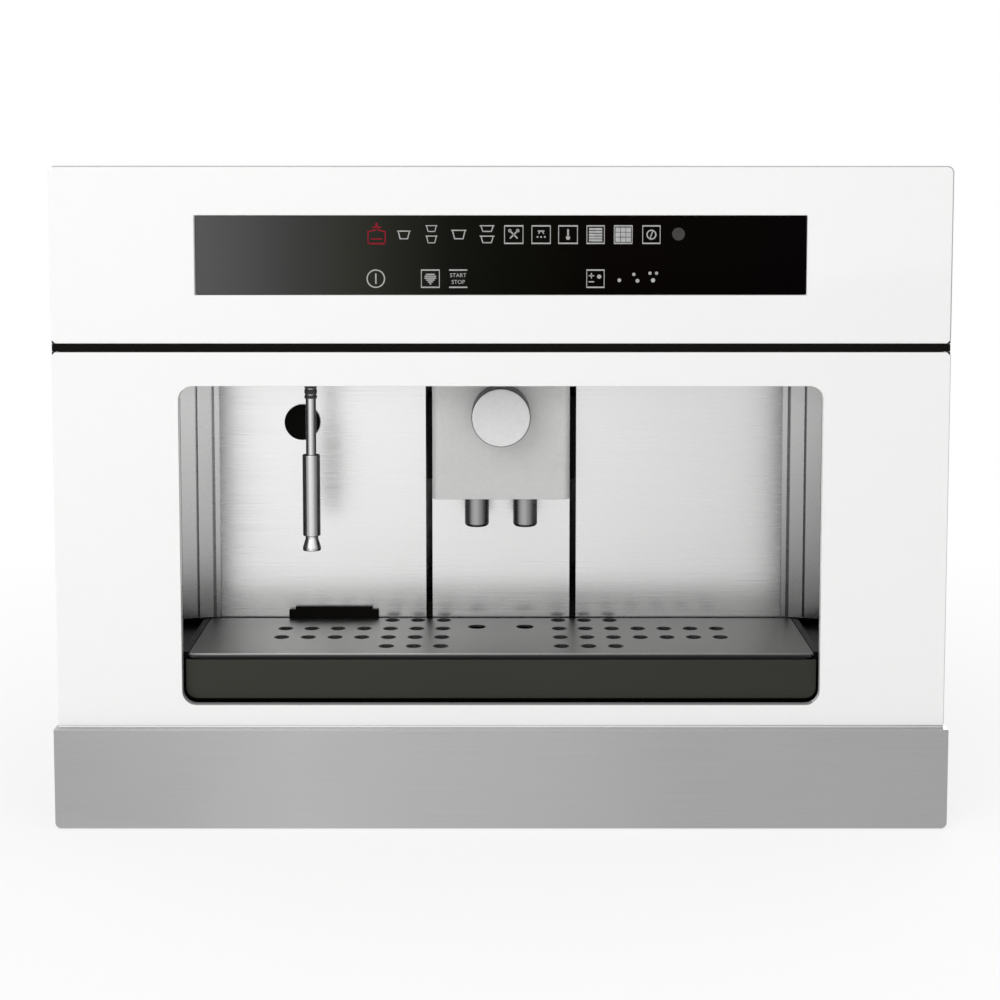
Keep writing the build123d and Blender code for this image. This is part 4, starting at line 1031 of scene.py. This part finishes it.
def flatWord(x, z, word, height):
    bpy.ops.object.text_add(location=(x * mm, printPlane * mm, z * mm),
                            rotation=(math.radians(90), 0, 0))
    text = bpy.context.object
    text.data.body = word
    text.data.align_x = "CENTER"
    text.data.size = height * mm
    text.data.extrude = printDepth / 2 * mm
    text.data.resolution_u = 3
    bpy.ops.object.convert(target="MESH")
    return bpy.context.object


def drawMarks(x, z, marks):
    # draws a list of (kind, place, sizes) around one point of the display
    makers = {"ring": flatRing, "drop": flatDrop, "word": flatWord}
    drawn = []
    for kind, *sizes in marks:
        if kind == "bar":
            x0, z0, x1, z1, *turn = sizes
            drawn.append(flatBar(x + x0, z + z0, x + x1, z + z1, *turn))
        else:
            drawn.append(makers[kind](x + sizes[0], z + sizes[1], *sizes[2:]))
    return drawn


def buildDisplayMarks():
    # touch marks printed on the smoked glass; lit ones are red
    values = {
        "cups": ((-68.0, 394.8, -59.2, 400.5, 0.7), (-32.6, 394.8, -22.7, 401.0, 0.7),
                 (-49.4, 399.6, -41.7, 404.0, 0.6), (-14.0, 399.6, -4.3, 404.0, 0.7),
                 (-49.4, 392.2, -41.7, 397.2, 0.6), (-14.0, 392.2, -4.3, 397.2, 0.7)),
        "foot": 391.7, "top": 404.0,
        "boxes": ((2.0, 14.6), (19.9, 32.5), (37.4, 50.2), (55.9, 67.8), (73.8, 86.0), (92.4, 104.3)),
        "tools": (("bar", -3.6, -0.45, 3.6, 0.45, 45), ("bar", -3.6, -0.45, 3.6, 0.45, -45),
                  ("ring", -2.6, 2.6, 1.1, 0.5, 12), ("ring", 2.6, 2.6, 1.1, 0.5, 12)),
        "rinse": (("bar", -2.2, 2.0, 2.2, 2.7), ("bar", -1.6, 0.4, -0.9, 2.2, 35),
                  ("bar", 0.9, 0.4, 1.6, 2.2, -35), ("drop", -2.4, -2.2, 0.6),
                  ("drop", 0.0, -2.2, 0.6), ("drop", 2.4, -2.2, 0.6)),
        "heat": (("ring", 0.0, -2.0, 1.4, 1.4, 16), ("bar", -0.6, -1.2, 0.6, 3.6)),
        "block": {"rows": 5, "side": 1.6, "first": 1.7, "pitch": 1.85, "height": 1.4},
        "grid": {"count": 3, "side": 1.0, "gap": 0.3, "first": 1.4, "pitch": 3.25, "height": 2.9},
        "bean": (("ring", 0.0, 0.0, 3.3, 0.8, 24), ("bar", -0.35, -2.6, 0.35, 2.6, 20)),
        "power": (("ring", -82.1, 369.0, 6.1, 0.8), ("bar", -82.55, 365.6, -81.65, 372.4)),
        "lowFoot": 362.9, "lowTop": 375.1, "heartBox": (-52.5, -40.2), "waterBox": (55.9, 67.8),
        "heart": {"x": -46.35, "halves": (0.6, 1.7, 2.8, 3.8, 3.8, 2.9), "first": 2.3,
                  "pitch": 1.25, "height": 0.8},
        "words": (("bar", -34.1, 374.2, -22.1, 375.1), ("bar", -34.1, 362.9, -22.1, 363.8),
                  ("word", -28.1, 370.0, "START", 3.7), ("word", -28.1, 365.6, "STOP", 3.7)),
        "water": (("bar", 57.4, 370.6, 61.0, 371.3), ("bar", 58.85, 369.2, 59.55, 372.7),
                  ("bar", 57.4, 366.6, 61.0, 367.3), ("drop", 64.3, 368.8, 1.4),
                  ("drop", 77.5, 366.6, 1.2), ("drop", 87.0, 370.6, 1.1),
                  ("drop", 89.4, 366.2, 1.3), ("drop", 97.6, 371.4, 1.1),
                  ("drop", 101.9, 371.4, 1.1), ("drop", 99.6, 366.4, 1.4)),
        "sensor": (("ring", 116.1, 398.2, 4.2, 4.2),),
        "warning": (("bar", -86.6, 391.4, -76.2, 392.5), ("bar", -87.4, 392.3, -86.6, 400.2),
                    ("bar", -76.2, 392.3, -75.4, 400.2), ("bar", -86.9, 400.0, -81.6, 400.9, -14),
                    ("bar", -81.2, 400.0, -75.9, 400.9, 14), ("bar", -84.4, 402.2, -78.4, 403.1),
                    ("bar", -82.2, 403.0, -80.6, 405.6), ("bar", -85.0, 394.6, -77.8, 395.5))}
    foot, top = values["foot"], values["top"]
    middle = (foot + top) / 2
    marks = []
    for cup in values["cups"]:
        marks += flatCup(*cup)
    for x0, x1 in values["boxes"]:
        marks += flatFrame(x0, foot, x1, top)
    centres = [(x0 + x1) / 2 for x0, x1 in values["boxes"]]
    for centre, name in zip(centres, ("tools", "rinse", "heat")):
        marks += drawMarks(centre, middle, values[name])
    block, grid, heart = values["block"], values["grid"], values["heart"]
    x0, x1 = values["boxes"][3]
    for row in range(block["rows"]):
        low = foot + block["first"] + row * block["pitch"]
        marks.append(flatBar(x0 + block["side"], low, x1 - block["side"], low + block["height"]))
    x0, x1 = values["boxes"][4]
    pane = (x1 - x0 - 2 * grid["side"] - (grid["count"] - 1) * grid["gap"]) / grid["count"]
    for column in range(grid["count"]):
        left = x0 + grid["side"] + column * (pane + grid["gap"])
        for row in range(grid["count"]):
            low = foot + grid["first"] + row * grid["pitch"]
            marks.append(flatBar(left, low, left + pane, low + grid["height"]))
    marks += drawMarks(centres[5], middle, values["bean"])
    marks += drawMarks(0, 0, values["power"])
    foot, top = values["lowFoot"], values["lowTop"]
    x0, x1 = values["heartBox"]
    marks += flatFrame(x0, foot, x1, top)
    for row, half in enumerate(heart["halves"]):
        low = foot + heart["first"] + row * heart["pitch"]
        marks.append(flatBar(heart["x"] - half, low, heart["x"] + half, low + heart["height"]))
    marks += drawMarks(0, 0, values["words"])
    x0, x1 = values["waterBox"]
    marks += flatFrame(x0, foot, x1, top)
    marks += drawMarks(0, 0, values["water"])
    piece = joinPieces(marks, "displayMarks")
    finishPiece(piece, "machine", "mark_grey", "display_glass")
    sensor = joinPieces(drawMarks(0, 0, values["sensor"]), "displaySensor")
    finishPiece(sensor, "machine", "mark_dim", "display_glass")
    warning = joinPieces(drawMarks(0, 0, values["warning"]), "displayWarning")
    finishPiece(warning, "machine", "mark_red", "display_glass")


buildDisplayMarks()
print("display marks ready")


def buildStripUnderDoorLight():
    # white block standing on the steel strip under the door's foot: painted light where the door's
    # foot shades the strip
    values = {"low": (-295.8, -194.7, 68.42), "high": (295.8, -190.4, 69.9),
              "edge": 0.2, "segments": 3}
    easedBlock("stripUnderDoorLight", "machine", values, "white_glass")


buildStripUnderDoorLight()
print("strip lip ready")
